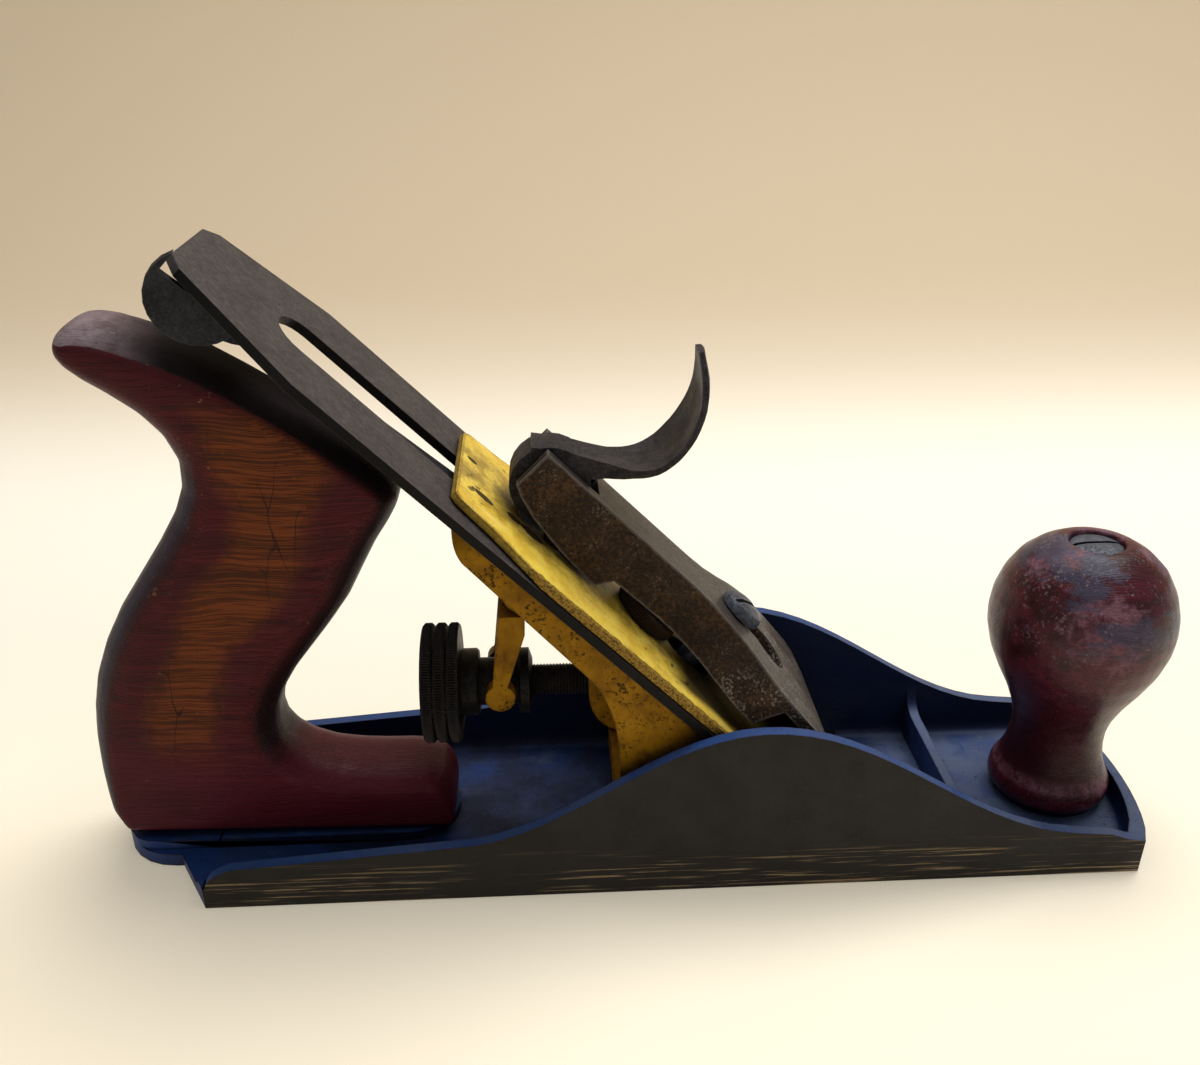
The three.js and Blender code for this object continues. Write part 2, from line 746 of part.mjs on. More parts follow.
function frogSideOutline() {
  const topEnd = onBed(new THREE.BufferGeometry().setFromPoints([
    new THREE.Vector3(frogTop, 0, 0), new THREE.Vector3(frogTop, 0, -frogPlateDepth / 2),
    new THREE.Vector3(frogShoulder, 0, -frogPlateDepth),
  ])).attributes.position;
  const corner = (step) => vec2(topEnd.getX(step), topEnd.getZ(step));
  const rear = new THREE.CubicBezierCurve(vec2(frogRearTopX, frogRearTopHeight),
    vec2(frogRearX, frogRearTopHeight - 0.4 * (frogRearTopHeight - frogRearShoulderHeight)),
    vec2(frogRearX, frogRearShoulderHeight),
    vec2(frogRearX, frogRearShoulderHeight / 2)).getPoints(2 * arcSteps);
  return [vec2(frogRearX, frogBaseZ), vec2(bedFootX - frogBaseZ, frogBaseZ), corner(0),
    corner(1), corner(2), ...rear];
}

function frogPlanOutline() {
  const half = frogWidth / 2;
  const tongue = frogTongueWidth / 2;
  const side = new THREE.CubicBezierCurve(vec2(frogShoulder, half),
    vec2(frogShoulder + (frogTop - frogShoulder) * 0.6, half),
    vec2(frogShoulder + (frogTop - frogShoulder) * 0.3, tongue),
    vec2(frogTop - (frogTop - frogShoulder) * 0.2, tongue * 0.9)).getPoints(2 * arcSteps);
  const mirrored = side.map((point) => vec2(point.x, -point.y)).reverse();
  const low = -overrun * 10;
  return [vec2(low, -half), ...mirrored.reverse(), vec2(frogTop, -tongue * 0.4),
    vec2(frogTop, tongue * 0.4), ...side.slice().reverse(), vec2(low, half)];
}

// The boss for the adjuster's stud: its rear bulges and runs down into the frog's rear face
function stemBossOutline(plateLine) {
  const bulge = new THREE.CubicBezierCurve(vec2(stemBossRearX, stemZ),
    vec2(stemBossRearX, (stemZ + stemBossLow) / 2),
    vec2(frogRearX + stemBossRearX / 2, stemBossLow),
    vec2(frogRearX + frogWebThickness, stemBossLow)).getPoints(2 * arcSteps);
  const frontX = plateLine + frogPlateDepth / 2;
  return [vec2(stemBossRearX, stemBossTop), ...bulge, vec2(frontX - stemBossLow, stemBossLow),
    vec2(frontX - stemBossTop, stemBossTop)];
}

function makeFrog() {
  const half = frogWidth / 2;
  const inner = half - frogWebThickness;
  const wedge = slab(frogSideOutline(), -half, half);
  const plan = solid(onBed(plateGeometry(frogPlanOutline(), -2 * frogTop, overrun)));
  const baseTop = frogBaseZ + frogBaseThickness;
  const plateLine = bedFootX - frogPlateDepth / Math.sin(bedAngle);
  const rearX = frogRearX - frogTop / 2;
  const hollow = slab([vec2(rearX, baseTop), vec2(plateLine - baseTop, baseTop),
    vec2(rearX, plateLine - rearX)], -inner, inner);
  const shell = cut(wedge.intersect(plan), hollow);
  const boss = slab(stemBossOutline(plateLine), -stemBossHalfWidth, stemBossHalfWidth);
  const web = slab([vec2(frogRearX, stemZ), vec2(plateLine - stemZ, baseTop - seatGap),
    vec2(plateLine - baseTop, baseTop - seatGap), vec2(plateLine - stemZ, stemZ + runGap)],
  -stemWebThickness / 2, stemWebThickness / 2);
  const limitX = yokePivotX - 2 * yokeLugRadius;
  const wedgeLimit = slab([vec2(limitX, 0), vec2(bedFootX, 0), vec2(limitX, bedFootX - limitX)],
    -half, half);
  const lugs = crossRod(yokeLugRadius, yokePivotX, yokePivotZ, -yokePinLength / 2 - seatGap,
    yokePinLength / 2 + seatGap);
  const whole = join(shell, join(boss, web, lugs).intersect(wedgeLimit));
  const stemBore = longRod(stemRadius + runGap, stemBossRearX - overrun,
    stemBossRearX + stemBoreDepth, stemZ);
  return cut(whole, stemBore, ...frogScrewWays(), ...frogFaceCuts());
}

// Slotted ways for the two frog screws, with room above for their heads
function frogScrewWays() {
  const baseTop = frogBaseZ + frogBaseThickness;
  return [-1, 1].flatMap((sign) => {
    const radius = frogScrewRadius + runGap;
    const slotEnds = [-1, 1].map((end) => standingRod(radius, frogScrewX + end * frogSlotHalfLength,
      sign * frogScrewY, frogBaseZ - overrun, baseTop + overrun));
    const slot = box([frogScrewX - frogSlotHalfLength, sign * frogScrewY - radius, frogBaseZ - overrun],
      [frogScrewX + frogSlotHalfLength, sign * frogScrewY + radius, baseTop + overrun]);
    const access = [-1, 1].map((end) => standingRod(frogAccessRadius,
      frogScrewX + end * frogSlotHalfLength / 2, sign * frogScrewY, baseTop, frogTop));
    return [...slotEnds, slot, ...access];
  });
}

function frogFaceCuts() {
  const pivot = bedPlace(yokePivotX, yokePivotZ);
  const yokeSlot = solid(onBed(boxGeometry(
    [pivot.at - yokeSlotDown, -yokeSlotWidth / 2, pivot.height - 2 * yokeLugRadius],
    [pivot.at + yokeSlotUp, yokeSlotWidth / 2, overrun])));
  const pinBore = crossRod(yokePinRadius + runGap, yokePivotX, yokePivotZ,
    -yokePinLength / 2 - overrun, yokePinLength / 2 + overrun);
  const nutRecess = solid(onBed(boxGeometry(
    [capScrewAt - frogRecessLength / 2, -frogRecessWidth / 2, -frogRecessDepth],
    [capScrewAt + frogRecessLength / 2, frogRecessWidth / 2, overrun])));
  const leverRecess = solid(onBed(boxGeometry(
    [leverRecessEnd, -frogTongueWidth / 2 - overrun, -lateralThickness - 2 * seatGap],
    [frogTop + overrun, frogTongueWidth / 2 + overrun, overrun])));
  const screwHole = solid(onBed(rodGeometry(leverScrewRadius + runGap,
    -leverScrewDepth - seatGap, overrun).translate(leverScrewAt, 0, 0)));
  const screwBoss = solid(onBed(rodGeometry(lateralRivetRadius + runGap,
    -frogPlateDepth - overrun, overrun).translate(lateralPivotAt, 0, 0)));
  return [yokeSlot, pinBore, nutRecess, leverRecess, screwHole, screwBoss];
}

function frogScrewHeadLow() {
  return frogBaseZ + frogBaseThickness + frogWasherThickness + 2 * seatGap;
}

function makeFrogScrew(sign) {
  const low = frogScrewHeadLow();
  const shank = standingRod(frogScrewRadius, frogScrewX, sign * frogScrewY,
    frogSeatHeight - frogScrewDepth + seatGap, low + seatGap);
  const head = standingRod(frogScrewHeadRadius, frogScrewX, sign * frogScrewY, low,
    low + frogScrewHeadThickness);
  const slot = box([frogScrewX - frogScrewHeadRadius * 2, sign * frogScrewY - driverSlotWidth / 2,
    low + frogScrewHeadThickness - driverSlotDepth],
  [frogScrewX + frogScrewHeadRadius * 2, sign * frogScrewY + driverSlotWidth / 2,
    low + frogScrewHeadThickness + overrun]);
  return cut(join(shank, head), slot);
}

function makeFrogWasher(sign) {
  const low = frogBaseZ + frogBaseThickness + seatGap;
  const disc = standingRod(frogWasherRadius, frogScrewX, sign * frogScrewY, low,
    low + frogWasherThickness);
  return cut(disc, standingRod(frogScrewRadius + runGap, frogScrewX, sign * frogScrewY,
    low - overrun, low + frogWasherThickness + overrun));
}

// Depth adjuster: stud, knurled wheel, yoke and its pin
const makeStem = () => longRod(stemRadius, stemRearX, stemFrontX, stemZ);

// A toothed disc about Z, between two heights, with eased rims
function knurledDisc(radius, teeth, low, high, edge) {
  const points = Array.from({ length: 2 * teeth }, (_, step) => {
    const angle = Math.PI * step / teeth;
    const reach = radius - edge - (step % 2 ? knurlDepth : 0);
    return vec2(reach * Math.cos(angle), reach * Math.sin(angle));
  });
  const geometry = new THREE.ExtrudeGeometry(new THREE.Shape(points), {
    depth: high - low - 2 * edge, bevelEnabled: true, bevelThickness: edge, bevelSize: edge,
    bevelSegments: 1,
  });
  return geometry.translate(0, 0, low + edge);
}

function makeWheel() {
  const rings = Array.from({ length: wheelRings }, (_, ring) => {
    const rearX = wheelRearX + ring * wheelRingPitch;
    return solid(knurledDisc(wheelRadius, wheelTeeth, rearX,
      rearX + wheelRingPitch - wheelRingGap, wheelRingEdge)
      .rotateY(Math.PI / 2).translate(0, 0, stemZ));
  });
  const rimEndX = wheelRearX + wheelRings * wheelRingPitch - wheelRingGap;
  const core = [[0, wheelRearX + wheelRingEdge], [wheelCoreRadius, wheelRearX + wheelRingEdge],
    [wheelCoreRadius, rimEndX - wheelRingEdge], [wheelHubRadius, rimEndX + wheelRingEdge],
    [wheelHubRadius, wheelHubEndX - wheelRingEdge], [wheelHubRadius - wheelRingEdge, wheelHubEndX],
    [wheelGrooveRadius, wheelHubEndX], [wheelGrooveRadius, wheelGrooveEndX],
    [wheelCollarRadius - wheelRingEdge, wheelGrooveEndX],
    [wheelCollarRadius, wheelGrooveEndX + wheelRingEdge],
    [wheelCollarRadius, wheelCollarEndX], [wheelNoseRadius, wheelNoseEndX], [0, wheelNoseEndX]];
  const turned = solid(latheGeometry(core, fineSteps).rotateY(Math.PI / 2)
    .translate(0, 0, stemZ));
  const bore = longRod(stemRadius + runGap, wheelRearX - overrun, wheelNoseEndX + overrun, stemZ);
  return cut(join(turned, ...rings), bore);
}

function yokeArmOutline() {
  const half = yokeArmTopWidth / 2;
  const neck = yokeArmNeckWidth / 2;
  const topX = THREE.MathUtils.lerp(yokePivotX, yokeBallX, 0.45);
  const lowZ = yokeBallZ + yokeBallRadius * 0.8;
  return [vec2(yokeBallX - neck, lowZ), vec2(yokeBallX + neck, lowZ),
    vec2(topX + half, yokeBridgeZ), vec2(topX + half, yokeBridgeZ + yokeBridgeThickness),
    vec2(topX - half, yokeBridgeZ + yokeBridgeThickness), vec2(topX - half * 1.2, yokeBridgeZ)];
}

function makeYoke() {
  const topX = THREE.MathUtils.lerp(yokePivotX, yokeBallX, 0.45);
  const half = yokeArmTopWidth / 2;
  const outerY = yokeArmInnerY + yokeArmThickness;
  const arms = [-1, 1].flatMap((sign) => {
    const nearY = sign < 0 ? -outerY : yokeArmInnerY;
    const farY = nearY + yokeArmThickness;
    return [slab(yokeArmOutline(), nearY, farY),
      crossRod(yokeBallRadius, yokeBallX, yokeBallZ, nearY, farY)];
  });
  const bridge = box([topX - half, -outerY + runGap, yokeBridgeZ],
    [topX + half, outerY - runGap, yokeBridgeZ + yokeBridgeThickness]);
  const neck = slab([vec2(topX - half, yokeBridgeZ + overrun / 2),
    vec2(topX + half, yokeBridgeZ + overrun / 2),
    vec2(yokePivotX + yokeHubRadius * 0.9, yokePivotZ), vec2(yokePivotX - yokeHubRadius * 0.9, yokePivotZ)],
  -yokeHubWidth / 2, yokeHubWidth / 2);
  const hub = crossRod(yokeHubRadius, yokePivotX, yokePivotZ, -yokeHubWidth / 2, yokeHubWidth / 2);
  const pivot = bedPlace(yokePivotX, yokePivotZ);
  const finger = solid(onBed(boxGeometry(
    [pivot.at - yokeFingerThickness / 2, -yokeFingerWidth / 2, pivot.height],
    [pivot.at + yokeFingerThickness / 2, yokeFingerWidth / 2, yokeFingerTop])));
  const bore = crossRod(yokePinRadius + runGap, yokePivotX, yokePivotZ, -yokeHubWidth, yokeHubWidth);
  return cut(join(...arms, bridge, neck, hub, finger), bore);
}

const makeYokePin = () => crossRod(yokePinRadius, yokePivotX, yokePivotZ,
  -yokePinLength / 2, yokePinLength / 2);

// Lateral lever, in the bed's frame: a strip that sinks, twists and ends in an upright disc
function makeLateralLever() {
  const top = -seatGap;
  const low = top - lateralThickness;
  const half = lateralStripWidth / 2;
  const foot = standingRod(lateralFootRadius, lateralRollerAt, 0, low, top);
  const drop = lateralDiscDrop + low / 2 + top / 2;
  const stations = [
    [lateralRollerAt, half], [lateralBendAt, half], [(lateralBendAt + lateralTwistAt) / 2, half],
    [lateralTwistAt, half * 0.9],
  ];
  const middle = (low + top) / 2;
  const sink = (at) => drop * ease((at - lateralBendAt) / (lateralTwistEnd - lateralBendAt) / 1.1);
  const ring = (at, width, turn) => {
    const corners = [[-width, -lateralThickness / 2], [width, -lateralThickness / 2],
      [width, lateralThickness / 2], [-width, lateralThickness / 2]];
    return corners.map(([across, up]) => new THREE.Vector3(at,
      across * Math.cos(turn) - up * Math.sin(turn),
      middle - sink(at) + across * Math.sin(turn) + up * Math.cos(turn)));
  };
  const flat = stations.map(([at, width]) => ring(at, width, 0));
  const turns = [1, 2, 3, 4, 5].map((step) => {
    const share = step / 5;
    const at = THREE.MathUtils.lerp(lateralTwistAt, lateralTwistEnd, share);
    return ring(at, half * (0.9 - 0.15 * share), share * Math.PI / 2);
  });
  const strip = loft([...flat, ...turns]);
  const disc = crossRod(lateralDiscRadius, lateralDiscAt, -lateralDiscDrop,
    -lateralThickness / 2, lateralThickness / 2);
  const hole = standingRod(lateralRivetRadius + runGap, lateralPivotAt, 0, low - overrun,
    top + overrun);
  const rollerHole = standingRod(lateralRivetRadius + runGap, lateralRollerAt, 0, low - overrun,
    top + overrun);
  const trim = box([0, -ironWidth, top],
    [ironLength + lateralStepGap, ironWidth, lateralDiscRadius * 2]);
  return cut(join(foot, strip, disc), hole, rollerHole, trim);
}

// The roller turns the lever's swing into a nudge on the iron's slot
function makeLateralRoller() {
  const low = -seatGap - lateralThickness;
  const disc = standingRod(lateralRollerRadius, lateralRollerAt, 0, 0, ironThickness);
  const stem = standingRod(lateralRivetRadius, lateralRollerAt, 0, low, runGap);
  return join(disc, stem);
}

const makeLateralRivet = () => standingRod(lateralRivetRadius, lateralPivotAt, 0,
  -frogPlateDepth + runGap, -seatGap);

// Iron, in the bed's frame
const ironLow = seatGap;
const ironHigh = seatGap + ironThickness;
// The cutting edge is the upper face's end, held just clear of the sole
const ironEdgeAt = ironEdgeLift / Math.sin(bedAngle) - ironHigh;

function makeIron() {
  const half = ironWidth / 2;
  const topHalf = ironTopWidth / 2;
  const shoulder = ironLength - ironTaperLength;
  const round = ironCornerRound;
  const outline = [vec2(ironEdgeAt, -half), vec2(shoulder, -half),
    vec2(ironLength - round, -topHalf - round * 0.4), vec2(ironLength, -topHalf + round),
    vec2(ironLength, topHalf - round), vec2(ironLength - round, topHalf + round * 0.4),
    vec2(shoulder, half), vec2(ironEdgeAt, half)];
  const blade = plate(outline, ironLow, ironHigh);
  const slotHalf = ironSlotWidth / 2;
  const slot = plate([...arc(ironSlotTop - slotHalf, 0, slotHalf, -Math.PI / 2, Math.PI / 2,
    2 * arcSteps), ...arc(ironSlotBottom + slotHalf, 0, slotHalf, Math.PI / 2, Math.PI * 1.5,
    2 * arcSteps)], ironLow - overrun, ironHigh + overrun);
  const bevelRun = ironThickness / Math.tan(ironBevelAngle);
  const bevel = slab([vec2(ironEdgeAt, ironHigh), vec2(ironEdgeAt - overrun, ironHigh),
    vec2(ironEdgeAt - overrun, ironLow - overrun), vec2(ironEdgeAt + bevelRun
      * (ironThickness + overrun) / ironThickness, ironLow - overrun)], -ironWidth, ironWidth);
  return cut(blade, slot, bevel);
}

// Cap iron, in the bed's frame: a plate whose last stretch is humped and comes down on the iron
const capLow = ironHigh + seatGap;
const capHigh = capLow + capIronThickness;
const capTipAt = ironEdgeAt + capIronTipSetback;

function humpAt(at) {
  return at > humpPeak
    ? humpRise * ease((humpStart - at) / (humpStart - humpPeak))
    : humpRise * ease((at - capTipAt) / (humpPeak - capTipAt));
}

const tipThinAt = (at) => THREE.MathUtils.lerp(capIronTipThickness, capIronThickness,
  Math.min((at - capTipAt) / (humpPeak - capTipAt), 1));

function makeCapIron() {
  const steps = 2 * flankSteps;
  const over = Array.from({ length: steps + 1 }, (_, step) => {
    const at = capTipAt + (humpStart - capTipAt) * step / steps;
    return vec2(at, capLow + humpAt(at) + tipThinAt(at));
  });
  const under = over.map((point) => vec2(point.x, point.y - tipThinAt(point.x)));
  const side = [...under, vec2(capIronTop, capLow), vec2(capIronTop, capHigh), ...over.reverse()];
  const half = [[capTipAt, capIronFullWidth], [capIronFullFrom, capIronFullWidth],
    [(capIronFullFrom + capIronShoulder) / 2, (capIronFullWidth + capIronShoulderWidth) / 2],
    [capIronShoulder, capIronShoulderWidth], [capIronTop - ironCornerRound / 2, capIronTopWidth],
    [capIronTop, capIronTopWidth - ironCornerRound]];
  const plan = [...half.map(([at, width]) => vec2(at, -width / 2)),
    ...half.slice().reverse().map(([at, width]) => vec2(at, width / 2))];
  const body = slab(side, -ironWidth, ironWidth)
    .intersect(plate(plan, -overrun, capHigh + 2 * humpRise + overrun));
  const pivot = bedPlace(yokePivotX, yokePivotZ);
  const yokeHole = box([pivot.at - yokeHoleLength / 2, -yokeHoleWidth / 2, capLow - overrun],
    [pivot.at + yokeHoleLength / 2, yokeHoleWidth / 2, capHigh + overrun]);
  const screwHole = standingRod(capScrewHoleRadius, capScrewAt, 0, capLow - overrun,
    capHigh + overrun);
  const slot = plate([...arc(leverScrewAt + capSlotHalfLength - capSlotHalfWidth, 0,
    capSlotHalfWidth, -Math.PI / 2, Math.PI / 2), ...arc(leverScrewAt - capSlotHalfLength
    + capSlotHalfWidth, 0, capSlotHalfWidth, Math.PI / 2, Math.PI * 1.5)], capLow - overrun,
  capHigh + overrun);
  return cut(body, yokeHole, screwHole, slot);
}

function makeCapScrew() {
  const head = standingRod(capScrewHeadRadius, capScrewAt, 0, -capScrewHeadThickness - seatGap / 2,
    -seatGap / 2 + runGap / 2);
  const shank = standingRod(capScrewRadius, capScrewAt, 0, -seatGap,
    capHigh + seatGap + capNutThickness * 0.75);
  return join(head, shank);
}

function makeCapNut() {
  const low = capHigh + seatGap;
  const disc = solid(knurledDisc(capNutRadius, capNutTeeth, low, low + capNutThickness,
    wheelRingEdge).translate(capScrewAt, 0, 0));
  const bore = standingRod(capScrewRadius + runGap, capScrewAt, 0, low - overrun,
    low + capNutThickness * 0.75 + runGap);
  return cut(disc, bore);
}

// Lever cap, in the bed's frame
const capTopLineShares = [
  [1, 1], [0.8, 1], [0.56, 1], [0.451, 0.99], [0.384, 0.953], [0.32, 0.912], [0.262, 0.879],
  [0.207, 0.837], [0.135, 0.707], [0.072, 0.558], [0.034, 0.465], [0, 0.39],
];
const skirtLineShares = [
  [1, 0.53], [0.975, 0.46], [0.93, 0.38], [0.85, 0.3], [0.765, 0.255], [0.745, 0.265],
  [0.725, 0.435], [0.6, 0.45], [0.48, 0.455], [0.4, 0.44],
];

const capAt = (share) => THREE.MathUtils.lerp(leverCapBottom, leverCapTop, share);

function capTopLine() {
  return smoothLine(capTopLineShares.map(([at, height]) => [capAt(at), height * leverCapHeight]),
    3 * flankSteps);
}

function leverCapHalfWidth(at) {
  const share = (flareTop - at) / (flareTop - flareBottom);
  return THREE.MathUtils.lerp(leverCapNeckWidth, leverCapFootWidth, ease(share)) / 2;
}

function leverCapPlan(inset, top, bottom) {
  const steps = 2 * flankSteps;
  const ats = Array.from({ length: steps + 1 }, (_, step) => bottom + (top - bottom) * step / steps);
  return [...ats.map((at) => vec2(at, -leverCapHalfWidth(at) + inset)),
    ...ats.reverse().map((at) => vec2(at, leverCapHalfWidth(at) - inset))];
}

function makeLeverCap() {
  const top = capTopLine();
  const topHeight = (at) => {
    const after = top.findIndex((point) => point.x <= at);
    const low = top[Math.max(after, 0)];
    return low.y;
  };
  const shellUnder = top.filter((point) => point.x < leverCapSkirtEnd)
    .map((point) => vec2(point.x, point.y - leverCapWall));
  const skirt = skirtLineShares.map(([at, height]) => vec2(capAt(at), height * leverCapHeight))
    .filter((point) => point.x > leverCapSkirtEnd);
  const skirtEnd = vec2(leverCapSkirtEnd, skirt.at(-1).y);
  const outline = [...top, ...shellUnder.reverse(), skirtEnd, ...skirt.reverse()];
  const side = slab(outline, -leverCapFootWidth, leverCapFootWidth);
  const whole = side.intersect(plate(leverCapPlan(0, leverCapTop, leverCapBottom), -overrun,
    leverCapHeight + overrun));
  const under = top.map((point) => vec2(point.x, point.y - leverCapWall));
  const hollowSide = slab([...under, vec2(leverCapBottom, -overrun), vec2(leverCapTop, -overrun)],
    -leverCapFootWidth, leverCapFootWidth);
  const hollow = hollowSide.intersect(plate(leverCapPlan(leverCapWall, leverCapTop + overrun,
    leverCapSkirtEnd - overrun), -2 * overrun, leverCapHeight));
  const leverSlot = box([leverSlotEnd, -camNeckWidth / 2 - seatGap, -overrun],
    [leverCapTop + overrun, camNeckWidth / 2 + seatGap, leverCapHeight + overrun]);
  const pinHole = crossRod(camPinRadius + runGap, camPinAt, camPinHeight, -leverCapNeckWidth,
    leverCapNeckWidth / 2 - camPinCover);
  const keyAt = leverScrewAt - keyholeDrop;
  const keyDepth = topHeight(keyAt) / 2;
  const keyhole = join(standingRod(keyholeRadius, keyAt, 0, keyDepth, leverCapHeight + overrun),
    standingRod(keySlotHalfWidth, leverScrewAt, 0, keyDepth, leverCapHeight + overrun),
    box([keyAt, -keySlotHalfWidth, keyDepth],
      [leverScrewAt, keySlotHalfWidth, leverCapHeight + overrun]));
  const rivetSeat = standingRod(springRivetRadius + runGap, springRivetAt, 0,
    leverCapHeight / 2, leverCapHeight - leverCapWall / 2);
  const humpTop = capLow + humpRise + capIronThickness + seatGap;
  const humpRoom = box([leverCapBottom - overrun, -leverCapFootWidth, -overrun],
    [leverCapSkirtEnd, leverCapFootWidth, humpTop]);
  return cut(whole, hollow, leverSlot, pinHole, keyhole, rivetSeat, humpRoom);
}

function makeLeverScrew() {
  const seat = leverCapHeight + seatGap;
  const shank = standingRod(leverScrewRadius, leverScrewAt, 0, -leverScrewDepth, seat + seatGap);
  const rise = leverScrewHeadThickness;
  const profile = [[0, seat], [leverScrewHeadRadius, seat], [leverScrewHeadRadius, seat + rise * 0.45],
    [leverScrewHeadRadius * 0.88, seat + rise * 0.78], [leverScrewHeadRadius * 0.5, seat + rise],
    [0, seat + rise]];
  const head = solid(latheGeometry(profile).translate(leverScrewAt, 0, 0));
  const turn = Math.PI / 5;
  const slot = boxGeometry([-leverScrewHeadRadius * 2, -driverSlotWidth / 2, 0],
    [leverScrewHeadRadius * 2, driverSlotWidth / 2, driverSlotDepth + overrun]);
  slot.rotateZ(turn).translate(leverScrewAt, 0, seat + leverScrewHeadThickness - driverSlotDepth);
  return cut(join(shank, head), solid(slot));
}

// Cam lever, drawn in the plane's frame: its arm as [x, z, thickness] from the pin,
// in shares of the arm's reach and rise
const camReach = 33;
const camRise = 30;
const camThickness = 2.4;
const camHeelThickness = 8;
const camArmShares = [
  [-0.12, 0.31], [0.1, 0.27], [0.24, 0.225], [0.4, 0.175], [0.56, 0.15], [0.7, 0.185],
  [0.82, 0.29], [0.92, 0.44], [0.985, 0.62], [1, 0.8], [0.985, 0.985],
];
// Half width of the arm along its length, as shares of half the pad's width
const camWidthShares = [0.448, 0.448, 0.448, 0.5, 0.72, 0.92, 1, 0.98, 0.86, 0.66, 0.3];
// Thickness of the arm along its length, as shares of the heel's thickness
const camThickShares = [0.6, 0.9, 1, 0.62, 0.36, 0.3, 0.29, 0.28, 0.27, 0.25, 0.2];

function makeCamLever() {
  const pinPlace = new THREE.Vector3(camPinAt, 0, camPinHeight).applyMatrix4(bed.matrix);
  const line = new THREE.CatmullRomCurve3(camArmShares.map(([x, z]) => new THREE.Vector3(
    pinPlace.x + x * camReach, 0, pinPlace.z + z * camRise)), false, 'centripetal');
  const last = camArmShares.length - 1;
  const pick = (table, place) => {
    const low = Math.min(Math.floor(place), last - 1);
    return THREE.MathUtils.lerp(table[low], table[low + 1], place - low);
  };
  const steps = 30;
  const rings = Array.from({ length: steps + 1 }, (_, step) => {
    const place = step / steps * last;
    const point = line.getPoint(step / steps);
    const along = line.getTangent(step / steps);
    const down = new THREE.Vector3(along.z, 0, -along.x);
    const half = pick(camWidthShares, place) * camPadWidth / 2;
    const thick = pick(camThickShares, place) * camHeelThickness;
    const dish = half > camNeckWidth / 2 + runGap ? (half - camNeckWidth / 2) * 0.12 : 0;
    const across = [-1, -0.55, 0, 0.55, 1];
    const topSide = across.map((share) => point.clone()
      .addScaledVector(down, dish * (1 - share * share))
      .add(new THREE.Vector3(0, share * half, 0)));
    const lowSide = across.map((share) => point.clone()
      .addScaledVector(down, thick * (1 - 0.25 * share * share)
        + dish * (1 - share * share)).add(new THREE.Vector3(0, share * half * 0.96, 0)));
    return [...topSide, ...lowSide.reverse()];
  });
  const arm = loft(rings);
  const hub = crossRod(camHubRadius, pinPlace.x, pinPlace.z, -camNeckWidth / 2, camNeckWidth / 2);
  const bore = crossRod(camPinRadius + runGap, pinPlace.x, pinPlace.z, -camNeckWidth, camNeckWidth);
  const face = solid(onBed(boxGeometry([0, -camPadWidth, -leverCapHeight],
    [leverSlotEnd + seatGap, camPadWidth, leverCapHeight + seatGap])));
  return cut(join(arm, hub), bore, face);
}

// The pin is driven in from the far side, and its hole is closed on the near side
const makeCamPin = () => crossRod(camPinRadius, camPinAt, camPinHeight,
  -leverCapNeckWidth / 2 + runGap, leverCapNeckWidth / 2 - camPinCover - runGap);

// The leaf spring's run, as shares of its length and of the room under the cap
const springRunShares = [
  [0, 1], [0.16, 1], [0.33, 0.97], [0.45, 0.78], [0.54, 0.42], [0.66, 0.14], [0.8, 0.03],
  [0.92, 0], [1, 0],
];
const springLow = capHigh + seatGap + springThickness / 2;
const springHigh = leverCapHeight - leverCapWall - seatGap - springThickness / 2;
const springStart = 95;
const springEnd = 121;

function makeSpring() {
  const line = smoothLine(springRunShares.map(([at, height]) => [
    THREE.MathUtils.lerp(springStart, springEnd, at),
    THREE.MathUtils.lerp(springLow, springHigh, height)]), 2 * flankSteps);
  const offset = (sign) => line.map((point, step) => {
    const before = line[Math.max(step - 1, 0)];
    const after = line[Math.min(step + 1, line.length - 1)];
    const along = after.clone().sub(before).normalize();
    return vec2(point.x - along.y * sign * springThickness / 2,
      point.y + along.x * sign * springThickness / 2);
  });
  const leaf = slab([...offset(-1), ...offset(1).reverse()], -springWidth / 2, springWidth / 2);
  return cut(leaf, standingRod(springRivetRadius + runGap, springRivetAt, 0, 0, leverCapHeight));
}

function makeSpringRivet() {
  const seat = springHigh - springThickness / 2 - seatGap;
  const head = standingRod(springRivetHeadRadius, springRivetAt, 0,
    seat - springRivetHeadThickness, seat);
  const shank = standingRod(springRivetRadius, springRivetAt, 0, seat - runGap,
    leverCapHeight - leverCapWall / 2 - runGap);
  return join(head, shank);
}

// The assembly
addPiece(plane, 'body', makeBody(), paintBlue, 0.6, 0.3);
addPiece(plane, 'tote', makeTote(), stainedWood, 0.5, 0);
addPiece(plane, 'tote_bolt', makeToteBolt(), plainSteel, 0.5, 0.9);
addPiece(plane, 'tote_nut', makeToteNut(), plainSteel, 0.5, 0.9);
addPiece(plane, 'knob', makeKnob(), stainedWood, 0.45, 0);
addPiece(plane, 'knob_bolt', makeKnobBolt(), plainSteel, 0.5, 0.9);
addPiece(plane, 'knob_nut', makeKnobNut(), plainSteel, 0.4, 0.9);
addPiece(plane, 'frog', makeFrog(), frogOchre, 0.6, 0.2);
addPiece(plane, 'frog_screw_near', makeFrogScrew(-1), plainSteel, 0.5, 0.9);
addPiece(plane, 'frog_screw_far', makeFrogScrew(1), plainSteel, 0.5, 0.9);
addPiece(plane, 'frog_washer_near', makeFrogWasher(-1), plainSteel, 0.5, 0.9);
addPiece(plane, 'frog_washer_far', makeFrogWasher(1), plainSteel, 0.5, 0.9);
addPiece(plane, 'adjuster_stud', makeStem(), darkSteel, 0.5, 0.9);
addPiece(plane, 'adjuster_wheel', makeWheel(), darkSteel, 0.5, 0.8);
addPiece(plane, 'yoke', makeYoke(), frogOchre, 0.6, 0.2);
